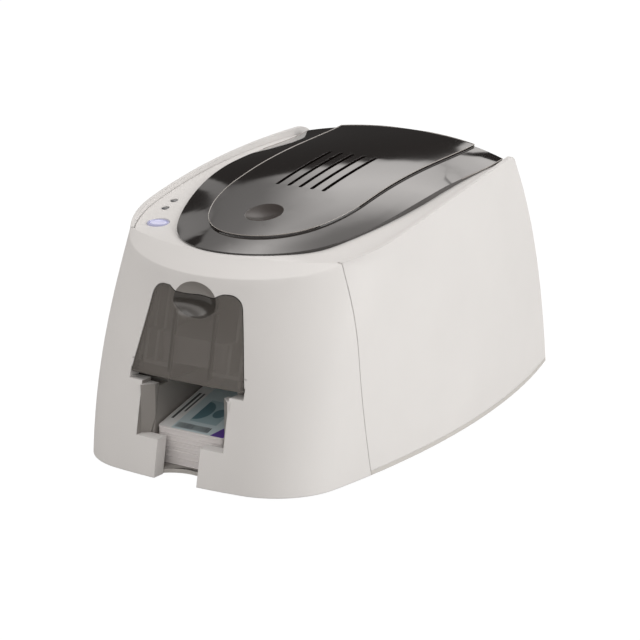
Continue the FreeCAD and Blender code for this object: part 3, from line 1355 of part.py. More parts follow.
for name, line in (("supply_rest", "supply_line"), ("takeup_rest", "takeup_line")):
    for side, low, high in (("left", "-frame_outside", "-cassette_outside"),
                            ("right", "cassette_outside", "frame_outside")):
        rests.append(block(name + "_" + side, (low, high),
                           (line + " - bush_radius", line + " + bush_radius"), ("frame_high",
                                   "frame_high + frame_wall")))
keep("ribbon_cassette", fuse("ribbon_cassette", walls + bars + rests))

for name, line, roll, reach in (("supply_spool", "supply_line", "supply_roll_radius", "cassette_outside"),
                                ("takeup_spool", "takeup_line", "takeup_roll_radius",
                                 "gear_outside + gear_gap")):
    wound = rod(name + "_roll", "x", roll, ("-ribbon_half_width", "ribbon_half_width"),
                (line, "spool_height"))
    core = rod(name + "_core", "x", "spool_core_radius",
               ("-cassette_inside + cassette_gap", "cassette_inside - cassette_gap"), (line,
                       "spool_height"))
    axle = rod(name + "_axle", "x", "idle_shaft_radius", ("-cassette_outside", reach),
               (line, "spool_height"))
    keep(name, fuse(name, [wound, core, axle]))
spool_bore = s.idle_shaft_radius + s.running_clearance / 2
keep("takeup_gear", gear("takeup_gear", s.shaft_teeth, s.takeup_line, s.spool_height, s.gear_inside,
                         s.gear_outside, spool_bore, 0))
ribbon_teeth = gear("ribbon_teeth_ring", s.pinion_teeth, s.ribbon_pinion_line, s.spool_height,
                    s.gear_inside, s.gear_outside, motor_bore, 0.5)
ribbon_stub = rod("ribbon_stub", "x", "motor_shaft_radius + running_clearance",
                  ("gear_inside", "gear_outside + gear_gap + frame_wall"),
           ("ribbon_pinion_line", "spool_height"))
keep("ribbon_pinion", fuse("ribbon_pinion", [ribbon_teeth, ribbon_stub]))
ribbon_motor_low = "gear_outside + gear_gap + frame_wall"
keep("ribbon_motor", rod("ribbon_motor", "x", "ribbon_motor_radius",
                         (ribbon_motor_low, ribbon_motor_low + " + ribbon_motor_length"),
                         ("ribbon_pinion_line", "spool_height")))


def tangent(radius, centre, other_radius, other):
    """Where a line below both circles touches the first one and the second one."""
    across_y, across_z = other[0] - centre[0], other[1] - centre[1]
    reach = math.hypot(across_y, across_z)
    tilt = math.atan2(across_z, across_y) - math.pi / 2 - math.asin((other_radius - radius) / reach)
    if math.sin(tilt) > 0:
        tilt = math.atan2(across_z, across_y) + math.pi / 2 + math.asin((other_radius - radius) / reach)
    point = (centre[0] + radius * math.cos(tilt), centre[1] + radius * math.sin(tilt))
    return point, (other[0] + other_radius * math.cos(tilt), other[1] + other_radius * math.sin(tilt))


wrap = s.guide_bar_radius + s.ribbon_gap
reel = (s.takeup_line, s.spool_height)
bar_front = (s.platen_line - s.front_guide_offset, s.guide_bar_height)
bar_rear = (s.platen_line + s.rear_guide_offset, s.guide_bar_height)
roll = (s.supply_line, s.spool_height)
film = []
for thickness in (0, s.ribbon_thickness):
    front_pair = tangent(s.takeup_roll_radius + s.ribbon_gap + thickness, reel, wrap + thickness,
                         bar_front)
    rear_pair = tangent(wrap + thickness, bar_rear, s.supply_roll_radius + s.ribbon_gap + thickness, roll)
    low = s.guide_bar_height - wrap - thickness
    film.append([front_pair[0], front_pair[1], (bar_front[0], low), (bar_rear[0], low), rear_pair[0],
                 rear_pair[1]])
film_loop = [Vector(-s.ribbon_half_width, y, z) for y, z in film[0] + film[1][::-1]]
film_face = Part.Face(Part.makePolygon(film_loop + film_loop[:1]))
keep("ribbon_film", solid("ribbon_film", film_face.extrude(Vector(2 * s.ribbon_half_width, 0, 0))))


# Power button, its ring, the lamps and the board below them
def upright_rod(x, y, radius, low, high):
    """Standing cylinder."""
    return Part.makeCylinder(radius, high - low, Vector(x, y, low))


ring = upright_rod(-s.button_place, button_y, s.button_ring_radius, button_top - s.button_height,
                   button_top)
ring = ring.cut(upright_rod(-s.button_place, button_y, s.button_radius + s.button_gap, 0, 2 * button_top))
keep("button_ring", solid("button_ring", ring))
cap_top = button_top - s.lamp_rise
cap = upright_rod(-s.button_place, button_y, s.button_radius, cap_top - s.button_height, cap_top)
plunger = upright_rod(-s.button_place, button_y, s.screw_radius,
                      s.control_top + s.switch_height + s.button_travel + s.hood_gap, cap_top)
keep("power_button", solid("power_button", cap.fuse(plunger)))
lamps = [upright_rod(place.x, place.y, s.lamp_radius, s.control_top,
                     deck_height(place.y, 0) + s.lamp_rise) for place in lamp_places]
keep("status_lights", solid("status_lights", Part.makeCompound(lamps)))
control_low = s.front_face + s.control_front_from_front
control = box_between(Vector(-s.control_outer, control_low, s.control_height),
                      Vector(-s.control_inner, s.front_face + s.control_rear_from_front, s.control_top))
switch = box_between(Vector(-s.button_place - s.lamp_radius, button_y - s.lamp_radius, s.control_top),
                     Vector(-s.button_place + s.lamp_radius, button_y + s.lamp_radius,
                            s.control_top + s.switch_height))
keep("control_board", solid("control_board", control.common(plan_solid(s.lip_depth)).fuse(switch)))

# Main board with its chips, and the two sockets at the rear
board_front = "front_face + board_front_from_front"
board = block("board_plate", ("-board_half_width", "board_half_width"),
              (board_front, "socket_line + socket_wall"),
              ("board_height", "board_top"))
# Each chip from side to side and from front to rear, in half widths of the board
CHIP_SHARES = [(-0.5, 0.25, 0.42, 1.03), (-0.8, -0.6, 0.24, 0.61), (0.5, 0.75, 0.36, 0.91)]
chips = []
for number, (left, right, near, far) in enumerate(CHIP_SHARES):
    chip_across = ("board_half_width * %g" % left, "board_half_width * %g" % right)
    chip_along = (board_front + " + board_half_width * %g" % near,
                  board_front + " + board_half_width * %g" % far)
    chips.append(block("chip_%d" % number, chip_across, chip_along,
                       ("board_top", "board_top + chip_height")))
keep("main_board", fuse("main_board", [board] + chips))
usb_across = ("usb_place - usb_width / 2", "usb_place + usb_width / 2")
usb_along = ("socket_line - usb_depth", "socket_face")
usb_shell = block("usb_shell", usb_across, usb_along, ("board_top", "board_top + usb_height"))
usb_cavity = block("usb_cavity", ("usb_place - usb_width / 2 + socket_wall",
                                  "usb_place + usb_width / 2 - socket_wall"),
                   ("socket_line - usb_depth + socket_wall * 2",
                    "socket_line + overrun"), ("board_top + socket_wall",
                                               "board_top + usb_height - socket_wall"))
usb_tongue = block("usb_tongue", ("usb_place - usb_tongue_width / 2", "usb_place + usb_tongue_width / 2"),
                   ("socket_line - usb_depth + socket_wall", "socket_face - socket_wall"),
                   ("board_top + usb_height / 2 - usb_tongue_height / 2",
                    "board_top + usb_height / 2 + usb_tongue_height / 2"))
keep("usb_socket", fuse("usb_socket", [cut("usb_cut", usb_shell, [usb_cavity]), usb_tongue]))
power_shell = block("power_shell", ("power_place - power_width / 2", "power_place + power_width / 2"),
                    ("socket_line - power_depth", "socket_face"), ("board_top",
                            "board_top + power_height"))
power_span = ("socket_line - power_depth + socket_wall * 2", "socket_line + overrun")
power_cavity = rod("power_cavity", "y", "power_bore_radius", power_span,
                   ("power_place", "board_top + power_height / 2"))
power_pin = rod("power_pin", "y", "power_pin_radius",
                ("socket_line - power_depth + socket_wall", "socket_face - socket_wall"),
                ("power_place", "board_top + power_height / 2"))
keep("power_socket", fuse("power_socket", [cut("power_cut", power_shell, [power_cavity]), power_pin]))

feet = []
for side in (-1, 1):
    for y in (s.front_face + s.foot_from_end, s.rear_face - s.foot_from_end):
        inset = s.foot_inset if y < 0 else s.foot_inset + 1.5 * s.foot_radius
        feet.append(upright_rod(side * (s.body_width / 2 - inset), y, s.foot_radius, 0, s.foot_height))
keep("rubber_feet", solid("rubber_feet", Part.makeCompound(feet)))
screws = []
for x, y in screw_places:
    head_low = s.floor_top + s.frame_wall
    head = upright_rod(x, y, s.screw_head_radius, head_low, head_low + s.screw_head_height)
    screws.append(head.fuse(upright_rod(x, y, s.screw_radius, head_low - s.screw_length,
                                        head_low + s.screw_head_height / 2)))
keep("frame_screws", solid("frame_screws", Part.makeCompound(screws)))


# Checks before the shapes are written
doc.recompute()
for item in doc.Objects:
    for word in item.State:
        if word in ("Invalid", "Error"):
            raise ValueError("%s has the state %s" % (item.Name, word))
for item in nodes:
    if item.Shape.isNull() or not item.Shape.isValid():
        raise ValueError("%s has no valid shape" % item.Label)
os.makedirs("parts", exist_ok=True)
for item in nodes:
    item.Shape.exportStep("parts/%s.step" % item.Label)
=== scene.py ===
# %% [markdown]
# # A desktop card printer
# The printer was built first as solids with real joints. This lesson dresses those solids:
# it gives each piece the finish of the real machine, and adds what is too fine for the solids.

# %% Load the printer's solids
import math

import bmesh
import bpy
from mathutils import Matrix, Vector
from mathutils.bvhtree import BVHTree
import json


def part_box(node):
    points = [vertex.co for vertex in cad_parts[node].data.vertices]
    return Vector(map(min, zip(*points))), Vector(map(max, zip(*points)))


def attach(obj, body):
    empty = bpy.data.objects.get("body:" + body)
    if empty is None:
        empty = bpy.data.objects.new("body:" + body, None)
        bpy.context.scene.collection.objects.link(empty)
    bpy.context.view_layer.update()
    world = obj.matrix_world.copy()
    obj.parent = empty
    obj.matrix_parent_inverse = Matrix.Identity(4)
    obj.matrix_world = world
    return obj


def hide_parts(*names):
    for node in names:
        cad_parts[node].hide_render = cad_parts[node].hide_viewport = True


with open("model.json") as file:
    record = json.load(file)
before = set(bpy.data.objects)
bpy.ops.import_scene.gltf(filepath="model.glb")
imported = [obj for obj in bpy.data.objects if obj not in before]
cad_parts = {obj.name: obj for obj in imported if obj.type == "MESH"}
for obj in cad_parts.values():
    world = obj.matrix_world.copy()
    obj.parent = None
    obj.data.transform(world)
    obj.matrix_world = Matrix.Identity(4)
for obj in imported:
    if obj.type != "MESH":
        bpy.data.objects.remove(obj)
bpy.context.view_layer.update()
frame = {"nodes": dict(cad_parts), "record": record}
MM = 0.001

# %% [markdown]
# ## Small helpers
# Colours are given in sRGB, as a screen shows them, but light adds up in linear values,
# so one function turns the first into the second. Another adds one node with its settings and links,
# and a third puts a finished mesh in the scene.


# %% Colour, nodes and objects
def linear(code):
    """An sRGB hex colour as linear red, green, blue and alpha."""
    parts = [int(code[at:at + 2], 16) / 255 for at in (1, 3, 5)]
    return tuple(part / 12.92 if part <= 0.04045 else ((part + 0.055) / 1.055) ** 2.4
                 for part in parts) + (1.0,)


def add(tree, kind, settings=(), links=()):
    """Adds a node to a tree, sets its values and sockets, and links the sockets that are fed."""
    node = tree.nodes.new(kind)
    for key, value in dict(settings).items():
        if isinstance(key, str) and hasattr(node, key):
            setattr(node, key, value)
        else:
            node.inputs[key].default_value = value
    for key, source in dict(links).items():
        tree.links.new(source, node.inputs[key])
    return node


def placed(name, data):
    """Puts a mesh, lens or lamp in the scene as an object."""
    made = bpy.data.objects.new(name, data)
    bpy.context.scene.collection.objects.link(made)
    return made


# %% [markdown]
# ## Moulded plastic
# The casing is ABS from a mould whose steel was spark eroded, which leaves a fine dull grain.
# Noise bumps the normal for it. The real grain is about a tenth of a millimetre, too fine to show,
# so it is drawn several times coarser. Slower noise changes the gloss a little, as hands and
# cleaning do. A painted texture could do the same, but noise has no seams on a curved wall.


# %% Plastic finishes
def plastic(name, colour, roughness, grain_mm, grain_depth, soft_edge_mm=0.4, coat=0.0, tint=0.035):
    """A moulded plastic: colour, gloss, and a grain whose size and depth are in millimetres."""
    made = bpy.data.materials.new(name)
    made.use_nodes = True
    tree = made.node_tree
    shader = tree.nodes["Principled BSDF"]
    place = add(tree, "ShaderNodeTexCoord").outputs["Object"]
    cloud = add(tree, "ShaderNodeTexNoise", {"Scale": 1 / (60 * MM), "Detail": 3.0}, {"Vector": place})
    grain = add(tree, "ShaderNodeTexNoise", {"Scale": 1 / (grain_mm * MM), "Detail": 2.0},
                {"Vector": place})
    base = linear(colour)
    dark = tuple(part * (1 - tint) for part in base[:3]) + (1.0,)
    light = tuple(min(1, part * (1 + tint)) for part in base[:3]) + (1.0,)
    blend = add(tree, "ShaderNodeMix", {"data_type": "RGBA", 6: dark, 7: light},
                {0: cloud.outputs["Fac"]})
    tree.links.new(blend.outputs[2], shader.inputs["Base Color"])
    gloss = add(tree, "ShaderNodeMapRange", {"To Min": roughness * 0.88, "To Max": roughness * 1.12},
                {"Value": cloud.outputs["Fac"]})
    tree.links.new(gloss.outputs["Result"], shader.inputs["Roughness"])
    soft = add(tree, "ShaderNodeBevel", {"samples": 4, "Radius": soft_edge_mm * MM})
    bump = add(tree, "ShaderNodeBump", {"Strength": 1.0, "Distance": grain_depth * MM},
               {"Height": grain.outputs["Fac"], "Normal": soft.outputs["Normal"]})
    tree.links.new(bump.outputs["Normal"], shader.inputs["Normal"])
    shader.inputs["IOR"].default_value = 1.5
    shader.inputs["Coat Weight"].default_value = coat
    shader.inputs["Coat Roughness"].default_value = 0.04
    return made


# Warm white, with a dull grain under an even gloss, so that highlights spread softly
casing_abs = plastic("casing ABS, spark grained", "#E8E6E4", 0.42, 0.9, 0.02, 0.9)
# Painted shade: the same white ABS in a darker colour, for the finger dish, the card bay's cheeks and the
# tray, where shade falls; it is smoother too
painted_shade_abs = plastic("casing ABS, darker for painted shade, smooth", "#9A9692", 0.34, 0.9, 0.01, 0.4)
# The pan below is a shade greyer and has less gloss
base_abs = plastic("base ABS, spark grained", "#D4D1CC", 0.5, 0.9, 0.02)
# Inner mouldings, satin white or a soft black that shows its texture only in a highlight
white_abs = plastic("white ABS, satin", "#E9E8E5", 0.35, 0.7, 0.01)
black_abs = plastic("black ABS, textured", "#1D1D1E", 0.5, 0.8, 0.02)
# Gears look milky and a little waxy, and the head's ceramic dark with a smooth sheen
acetal = plastic("natural acetal, machined teeth", "#E8E6DF", 0.32, 0.5, 0.004, 0.1)
ceramic = plastic("print head ceramic and carrier", "#3A3A3C", 0.3, 0.6, 0.005)
# Sockets are a dense black that takes hardly any light
black_pbt = plastic("black PBT socket body", "#141415", 0.4, 0.6, 0.01)
print("plastics", len(bpy.data.materials))

# %% [markdown]
# ## Smoked plastics
# The hood is tinted acrylic over a dark inside, so it reads as deep brown black with a hard gloss.
# Its clear top layer is the coat; the dimple for the finger is satin. The feeder door is a thinner
# smoky sheet that lets the ribs behind it show. Its edges are darker, because there one looks through
# more of the sheet. Its finger dish is darker as painted shade, for the hollow lying in shade.

# %% Smoked hood and door
hood_acrylic = plastic("smoked acrylic hood, polished", "#1C1715", 0.06, 1.4, 0.0015, 0.6, 1.0, 0.02)
dimple_acrylic = plastic("smoked acrylic hood, satin dimple", "#3B3532", 0.34, 1.0, 0.004, 0.6, 0.1, 0.02)
door_acrylic = plastic("smoked acrylic door, satin", "#837E79", 0.2, 1.2, 0.004, 0.5, 0.5, 0.03)
door_acrylic.node_tree.nodes["Principled BSDF"].inputs["Alpha"].default_value = 0.56
edge_acrylic = plastic("smoked acrylic door, edge on", "#2C2825", 0.24, 1.2, 0.004, 0.3, 0.3, 0.03)
# The door's finger dish: the same smoked sheet, darker and less clear as painted shade in the hollow
dish_painted_shade_acrylic = plastic("smoked acrylic door, finger dish, painted shade", "#47433F", 0.26, 1.2, 0.004, 0.5, 0.5, 0.03)
dish_painted_shade_acrylic.node_tree.nodes["Principled BSDF"].inputs["Alpha"].default_value = 0.9

# %% [markdown]
# ## Rubber and metal
# Rollers are ground rubber with fine rings round them. Sheet steel is rolled, so its streaks run one
# way; turned shafts have streaks round them. Each streak is noise stretched along one direction,
# which follows the piece without a texture map. Real streaks are too fine to show, so these are
# drawn about a millimetre apart.


# %% Metals and rubber
def metal(name, colour, roughness, streak_mm, depth, along=(1, 1, 1), metallic=1.0):
    """A metal whose noise is stretched by a factor for each direction."""
    made = bpy.data.materials.new(name)
    made.use_nodes = True
    tree = made.node_tree
    shader = tree.nodes["Principled BSDF"]
    place = add(tree, "ShaderNodeTexCoord").outputs["Object"]
    turned = add(tree, "ShaderNodeMapping", {"Scale": along}, {"Vector": place})
    streak = add(tree, "ShaderNodeTexNoise", {"Scale": 1 / (streak_mm * MM), "Detail": 3.0},
                 {"Vector": turned.outputs["Vector"]})
    base = linear(colour)
    dark = tuple(part * 0.9 for part in base[:3]) + (1.0,)
    blend = add(tree, "ShaderNodeMix", {"data_type": "RGBA", 6: dark, 7: base},
                {0: streak.outputs["Fac"]})
    tree.links.new(blend.outputs[2], shader.inputs["Base Color"])
    gloss = add(tree, "ShaderNodeMapRange", {"To Min": roughness * 0.75, "To Max": roughness * 1.25},
                {"Value": streak.outputs["Fac"]})
    tree.links.new(gloss.outputs["Result"], shader.inputs["Roughness"])
    bump = add(tree, "ShaderNodeBump", {"Strength": 1.0, "Distance": depth * MM},
               {"Height": streak.outputs["Fac"]})
    tree.links.new(bump.outputs["Normal"], shader.inputs["Normal"])
    shader.inputs["Metallic"].default_value = metallic
    return made


# Zinc gives the frames a soft grey shine, and grinding gives shafts bright rings
sheet_steel = metal("zinc plated steel, rolled", "#B4B6B8", 0.38, 1.5, 0.004, (1, 0.08, 1))
shaft_steel = metal("steel shaft, ground", "#BDBEC0", 0.22, 0.8, 0.002, (4, 0.3, 0.3))
# Drawn wire is darker and plain, and bronze is dull from its pores
spring_steel = metal("spring steel, drawn", "#9A9B9D", 0.3, 0.5, 0.002)
bronze = metal("bronze, sintered", "#B58B54", 0.42, 0.4, 0.01)
# The heat sink shows the lines of its press, and tin on sockets and legs is nearly a mirror
sink_metal = metal("aluminium, extruded", "#C4C6C8", 0.36, 1.0, 0.003, (1, 1, 0.06))
socket_tin = metal("tinned steel, stamped", "#B9BBBC", 0.28, 0.8, 0.002)
# Rubber is a soft black: rings catch a little light on a roller, and a foot is dull all over
roller_rubber = metal("rubber roller, ground", "#252527", 0.75, 0.5, 0.02, (3, 0.4, 0.4), 0.0)
foot_rubber = metal("rubber foot, moulded", "#171718", 0.85, 0.9, 0.02, (1, 1, 1), 0.0)
print("materials", len(bpy.data.materials))

# %% [markdown]
# ## Skins over the solids
# The solids come as loose triangles. A copy of each outer shell is joined at its corners and shaded
# smooth except at its real edges, so that light runs over the curved walls in one sweep. Shells
# modelled anew could differ from the solids that collide, and these copies can't.


# %% Dress a solid
def shaded(work, crease):
    """Smooth shading for a mesh under work, except at the edges that bend more than the crease angle."""
    for face in work.faces:
        face.smooth = True
    for edge in work.edges:
        edge.smooth = len(edge.link_faces) == 2 and edge.calc_face_angle(0) < math.radians(crease)


def dressed(node, name, finish, crease=30):
    """A finished skin that stands for one solid."""
    source = frame["nodes"][node].data
    mesh = bpy.data.meshes.new(name)
    mesh.from_pydata([vertex.co for vertex in source.vertices], [],
                     [tuple(face.vertices) for face in source.polygons])
    work = bmesh.new()
    work.from_mesh(mesh)
    bmesh.ops.remove_doubles(work, verts=work.verts, dist=0.002 * MM)
    bmesh.ops.dissolve_degenerate(work, edges=work.edges, dist=0.001 * MM)
    shaded(work, crease)
    work.to_mesh(mesh)
    work.free()
    mesh.materials.append(finish)
    piece = placed(name, mesh)
    body = next(key for key, members in frame["record"]["behaviour"]["bodies"].items() if node in members)
    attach(piece, body)
    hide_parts(node)
    return piece


# The output tray takes the darker colour as painted shade for the deep walls of the card bay
SHELLS = [("front_shell", casing_abs), ("right_side_panel", casing_abs), ("left_side_panel", casing_abs),
          ("rear_panel", casing_abs), ("base_pan", base_abs), ("output_tray", painted_shade_abs),
          ("hood_cover", hood_acrylic), ("feeder_door", door_acrylic), ("hood_frame", black_abs)]
skins = {node: dressed(node, node + "_skin", finish) for node, finish in SHELLS}
print("skins", len(skins))

# %% [markdown]
# ## Painted shade in the hollows, and edges in another finish
# The finger dish and the walls of the card bay get painted shade: the same plastic in a darker colour,
# where shade falls. The hood's dimple has a satin finish of its own, and so has the cut edge of the door.
# Each is found by its place and by the way that its faces look, because the shells are one mesh each.
# Its rim is marked sharp, as a mould's insert leaves it.

# %% Finishes by place
# Places on the solids in millimetres: the finger dish, the hood's dimple and the card bay
DISH_HEIGHT = 124
DISH_HALF_WIDTH = 18.1
DISH_HALF_HEIGHT = 13.1
DIMPLE_LINE = -85
DIMPLE_RADIUS = 13.9
BAY_HALF_WIDTH = 36.4
BAY_FRONT = -187
BAY_LOW, BAY_HIGH = 26, 68


def in_dish(corner):
    """Whether a point lies in the oval finger dish of the door and the casing, seen from the front."""
    across = corner.x / DISH_HALF_WIDTH
    up = (corner.z - DISH_HEIGHT) / DISH_HALF_HEIGHT
    return across ** 2 + up ** 2 < 1


def in_dimple(corner):
    """Whether a point lies in the round dimple of the hood, seen from above."""
    return corner.x ** 2 + (corner.y - DIMPLE_LINE) ** 2 < DIMPLE_RADIUS ** 2


def in_bay(corner):
    """Whether a point lies on the cheeks of the card bay."""
    return abs(corner.x) < BAY_HALF_WIDTH and corner.y > BAY_FRONT and BAY_LOW < corner.z < BAY_HIGH


def refinish(piece, finish, inside, faces_that_way):
    """Gives the faces inside a place that face a given way another finish, with a crisp rim."""
    piece.data.materials.append(finish)
    slot = len(piece.data.materials) - 1
    corners = [vertex.co / MM for vertex in piece.data.vertices]
    for face in piece.data.polygons:
        if faces_that_way(face.normal) and all(inside(corners[at]) for at in face.vertices):
            face.material_index = slot
    finishes = {}
    for face in piece.data.polygons:
        for key in face.edge_keys:
            finishes.setdefault(key, set()).add(face.material_index)
    for edge in piece.data.edges:
        if len(finishes[edge.key]) > 1:
            edge.use_edge_sharp = True


refinish(skins["feeder_door"], edge_acrylic, lambda corner: True, lambda way: abs(way.y) < 0.3)
# The door's finger dish gets painted shade
refinish(skins["feeder_door"], dish_painted_shade_acrylic, in_dish, lambda way: True)
# The casing's half of the finger dish and the card bay's cheeks get painted shade
refinish(skins["front_shell"], painted_shade_abs, in_dish, lambda way: way.y < -0.1)
refinish(skins["front_shell"], painted_shade_abs, in_bay, lambda way: abs(way.z) < 0.5)
refinish(skins["hood_cover"], dimple_acrylic, in_dimple, lambda way: way.z > 0.3)
print("finishes on shells", sum(len(skin.data.materials) for skin in skins.values()))

# %% [markdown]
# ## Finishes for the pieces inside
# The solids of the mechanism already have their true shape, so they only get their materials.

# %% Finishes by piece
FINISHES = [
    (white_abs, ["card_hopper", "hood_latch"]),
    (black_abs, ["card_track", "ribbon_cassette"]),
    (sheet_steel, ["left_frame", "right_frame"]),
    (shaft_steel, ["cross_bars", "door_pins", "hood_hinge_pins"]),
    (bronze, ["shaft_bushes", "motor_pinion", "ribbon_pinion"]),
    (acetal, ["pickup_gear", "feed_gear", "platen_gear", "rear_gear", "takeup_gear",
              "front_idler_gear", "middle_idler_gear", "rear_idler_gear"]),
    (ceramic, ["print_head"]),
    (sink_metal, ["head_heatsink"]),
    (spring_steel, ["head_springs"]),
    (socket_tin, ["usb_socket"]),
    (black_pbt, ["power_socket"]),
]
for finish, members in FINISHES:
    for node in members:
        data = frame["nodes"][node].data
        data.materials.clear()
        data.materials.append(finish)
print("solids with a finish", sum(len(members) for finish, members in FINISHES))

# %% [markdown]
# ## Round pieces
# Buttons, lamps, rollers and motor cans are turned shapes: one half profile goes once round an axis.
# A lathe in code gives them their chamfers and domes, which the plain solids leave out.


# %% A lathe
def linked(name, mesh, finish, body, nodes=()):
    """Puts a finished mesh in the scene, on its body, in place of the solids that it stands for."""
    if finish is not None:
        mesh.materials.clear()
        mesh.materials.append(finish)
    piece = placed(name, mesh)
    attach(piece, body)
    if nodes:
        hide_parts(*nodes)
    print(name, "faces", len(mesh.polygons))


def turned(work, profile, centre, axis="Z", steps=72):
    """Turns a profile of (radius, height) in millimetres about Z or X through a centre in metres."""
    rings = []
    for radius, height in profile:
        ring = []
        for step in range(steps if radius > 0 else 1):
            angle = 2 * math.pi * step / steps
            flat = Vector((radius * math.cos(angle), radius * math.sin(angle), height)) * MM
            if axis == "X":
                flat = Vector((flat.z, flat.x, flat.y))
            ring.append(work.verts.new(flat + Vector(centre)))
        rings.append(ring)
    for low, high in zip(rings, rings[1:]):
        for step in range(steps):
            after = (step + 1) % steps
            corners = [low[step % len(low)], low[after % len(low)], high[after % len(high)],
                       high[step % len(high)]]
            kept = list(dict.fromkeys(corners))
            if len(kept) > 2:
                work.faces.new(kept)


def skinned(work, rings):
    """Walls between rings of corners, and a face over each end."""
    for lower, upper in zip(rings, rings[1:]):
        for at in range(len(lower)):
            after = (at + 1) % len(lower)
            work.faces.new((lower[at], lower[after], upper[after], upper[at]))
    work.faces.new(rings[0][::-1])
    work.faces.new(rings[-1])


def finish_mesh(work, name, crease=40):
    """Closes a mesh: faces outwards, smooth except at its real edges."""
    bmesh.ops.remove_doubles(work, verts=work.verts, dist=0.001 * MM)
    bmesh.ops.recalc_face_normals(work, faces=work.faces)
    shaded(work, crease)
    mesh = bpy.data.meshes.new(name)
    work.to_mesh(mesh)
    work.free()
    return mesh


def middle(node):
    """Centre of a solid's box in metres."""
    low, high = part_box(node)
    return [(a + b) / 2 for a, b in zip(low, high)]


# %% [markdown]
# ## Button and lights
# The power button is a clear cap over a lit pale lavender disc, in a milky ring with a soft lip that
# takes some of its light. Each status light is a small dark lens, a little proud of the deck. All
# are round, so the lathe makes them, and the cap glows by its own finish instead of a lamp inside.

# %% Power button
low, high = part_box("power_button")
button_place = middle("power_button")[:2] + [high[2]]
span = (high[2] - low[2]) / MM
work = bmesh.new()
turned(work, [(0, -span), (1.5, -span), (1.5, -span + 0.4), (5.9, -span + 0.4), (5.9, -0.7),
              (5.75, -0.25), (5.3, 0), (4.6, -0.1), (2.5, -0.34), (0, -0.42)], button_place)
lit_cap = plastic("lit lavender button, clear cap", "#DFDFF6", 0.18, 0.8, 0.002, 0.2, 0.6, 0.02)
lit_shader = lit_cap.node_tree.nodes["Principled BSDF"]
lit_shader.inputs["Emission Color"].default_value = linear("#B9BDF2")
lit_shader.inputs["Emission Strength"].default_value = 0.28
linked("power_button_cap", finish_mesh(work, "power_button_cap"), lit_cap, "button", ["power_button"])

ring_place = middle("button_ring")[:2] + [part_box("button_ring")[1][2]]
lit_ring = plastic("lit button ring, milky", "#BFC1E2", 0.2, 0.8, 0.002, 0.2, 0.6, 0.02)
work = bmesh.new()
turned(work, [(6.15, -6), (7.85, -6), (7.85, -0.75), (7.7, -0.3), (7.3, -0.02), (6.9, 0), (6.5, -0.15),
              (6.15, -0.6), (6.15, -6)], ring_place)
linked("button_ring_lip", finish_mesh(work, "button_ring_lip"), lit_ring, "casing", ["button_ring"])

# %% Status lights
lens_grey = plastic("smoked lamp lens", "#4A4C50", 0.15, 0.8, 0.001, 0.2, 0.8, 0.02)
frame_lamps = frame["nodes"]["status_lights"].data
lamp_y = sorted({round(vertex.co.y, 3) for vertex in frame_lamps.vertices})
gap_at = max(range(len(lamp_y) - 1), key=lambda at: lamp_y[at + 1] - lamp_y[at])
work = bmesh.new()
for group in (lamp_y[:gap_at + 1], lamp_y[gap_at + 1:]):
    mine = [vertex.co for vertex in frame_lamps.vertices
            if group[0] - MM <= vertex.co.y <= group[-1] + MM]
    tops = [max(co[axis] for co in mine) for axis in range(3)]
    lows = [min(co[axis] for co in mine) for axis in range(3)]
    tall = (tops[2] - lows[2]) / MM
    place = [(tops[0] + lows[0]) / 2, (tops[1] + lows[1]) / 2, tops[2]]
    turned(work, [(0, -tall), (2.7, -tall), (2.7, -0.5), (2.5, -0.2), (1.9, -0.03), (0, 0)], place,
           steps=48)
linked("status_lenses", finish_mesh(work, "status_lenses"), lens_grey, "casing", ["status_lights"])

# %% [markdown]
# ## Repeats from one tree
# Cards in a stack, screws in a frame and legs on a chip are one shape said many times. A node tree
# takes that shape, sets copies along a line with a small seeded shift, and makes them real. Copies
# by hand would do for four screws, but one tree serves every row.


# %% Tree for a row of copies
def row_tree():
    """Copies of a shape along a line: count, step, random shift and turn, seed and finish."""
    tree = bpy.data.node_groups.new("row of copies", "GeometryNodeTree")
    face = tree.interface
    face.new_socket("Shape", in_out="INPUT", socket_type="NodeSocketGeometry")
    sockets = [("Count", "NodeSocketInt", 10), ("Step", "NodeSocketVector", (0, 0, MM)),
               ("Shift", "NodeSocketVector", (0, 0, 0)), ("Turn", "NodeSocketFloat", 0.0),
               ("Seed", "NodeSocketInt", 3), ("Finish", "NodeSocketMaterial", None)]
    for label, kind, value in sockets:
        socket = face.new_socket(label, in_out="INPUT", socket_type=kind)
        if value is not None:
            socket.default_value = value
    face.new_socket("Row", in_out="OUTPUT", socket_type="NodeSocketGeometry")
    given = add(tree, "NodeGroupInput").outputs
    line = add(tree, "GeometryNodeMeshLine", {"mode": "OFFSET"},
               {"Count": given["Count"], "Offset": given["Step"]})
    spread = add(tree, "FunctionNodeRandomValue",
                 {"data_type": "FLOAT_VECTOR", 0: (-1, -1, -1), 1: (1, 1, 1)}, {"Seed": given["Seed"]})
    moved = add(tree, "ShaderNodeVectorMath", {"operation": "MULTIPLY"},
                {0: spread.outputs[0], 1: given["Shift"]})
    shifted = add(tree, "GeometryNodeSetPosition", {},
                  {"Geometry": line.outputs["Mesh"], "Offset": moved.outputs["Vector"]})
    swing = add(tree, "FunctionNodeRandomValue", {"data_type": "FLOAT", 2: -1.0, 3: 1.0},
                {"Seed": given["Seed"]})
    angle = add(tree, "ShaderNodeMath", {"operation": "MULTIPLY"},
                {0: swing.outputs[1], 1: given["Turn"]})
    around = add(tree, "ShaderNodeCombineXYZ", {}, {"Z": angle.outputs["Value"]})
    copies = add(tree, "GeometryNodeInstanceOnPoints", {},
                 {"Points": shifted.outputs["Geometry"], "Instance": given["Shape"],
                  "Rotation": around.outputs["Vector"]})
    real = add(tree, "GeometryNodeRealizeInstances", {}, {"Geometry": copies.outputs["Instances"]})
    dyed = add(tree, "GeometryNodeSetMaterial", {},
               {"Geometry": real.outputs["Geometry"], "Material": given["Finish"]})
    add(tree, "NodeGroupOutput", {}, {0: dyed.outputs["Geometry"]})
    return tree


rows = row_tree()


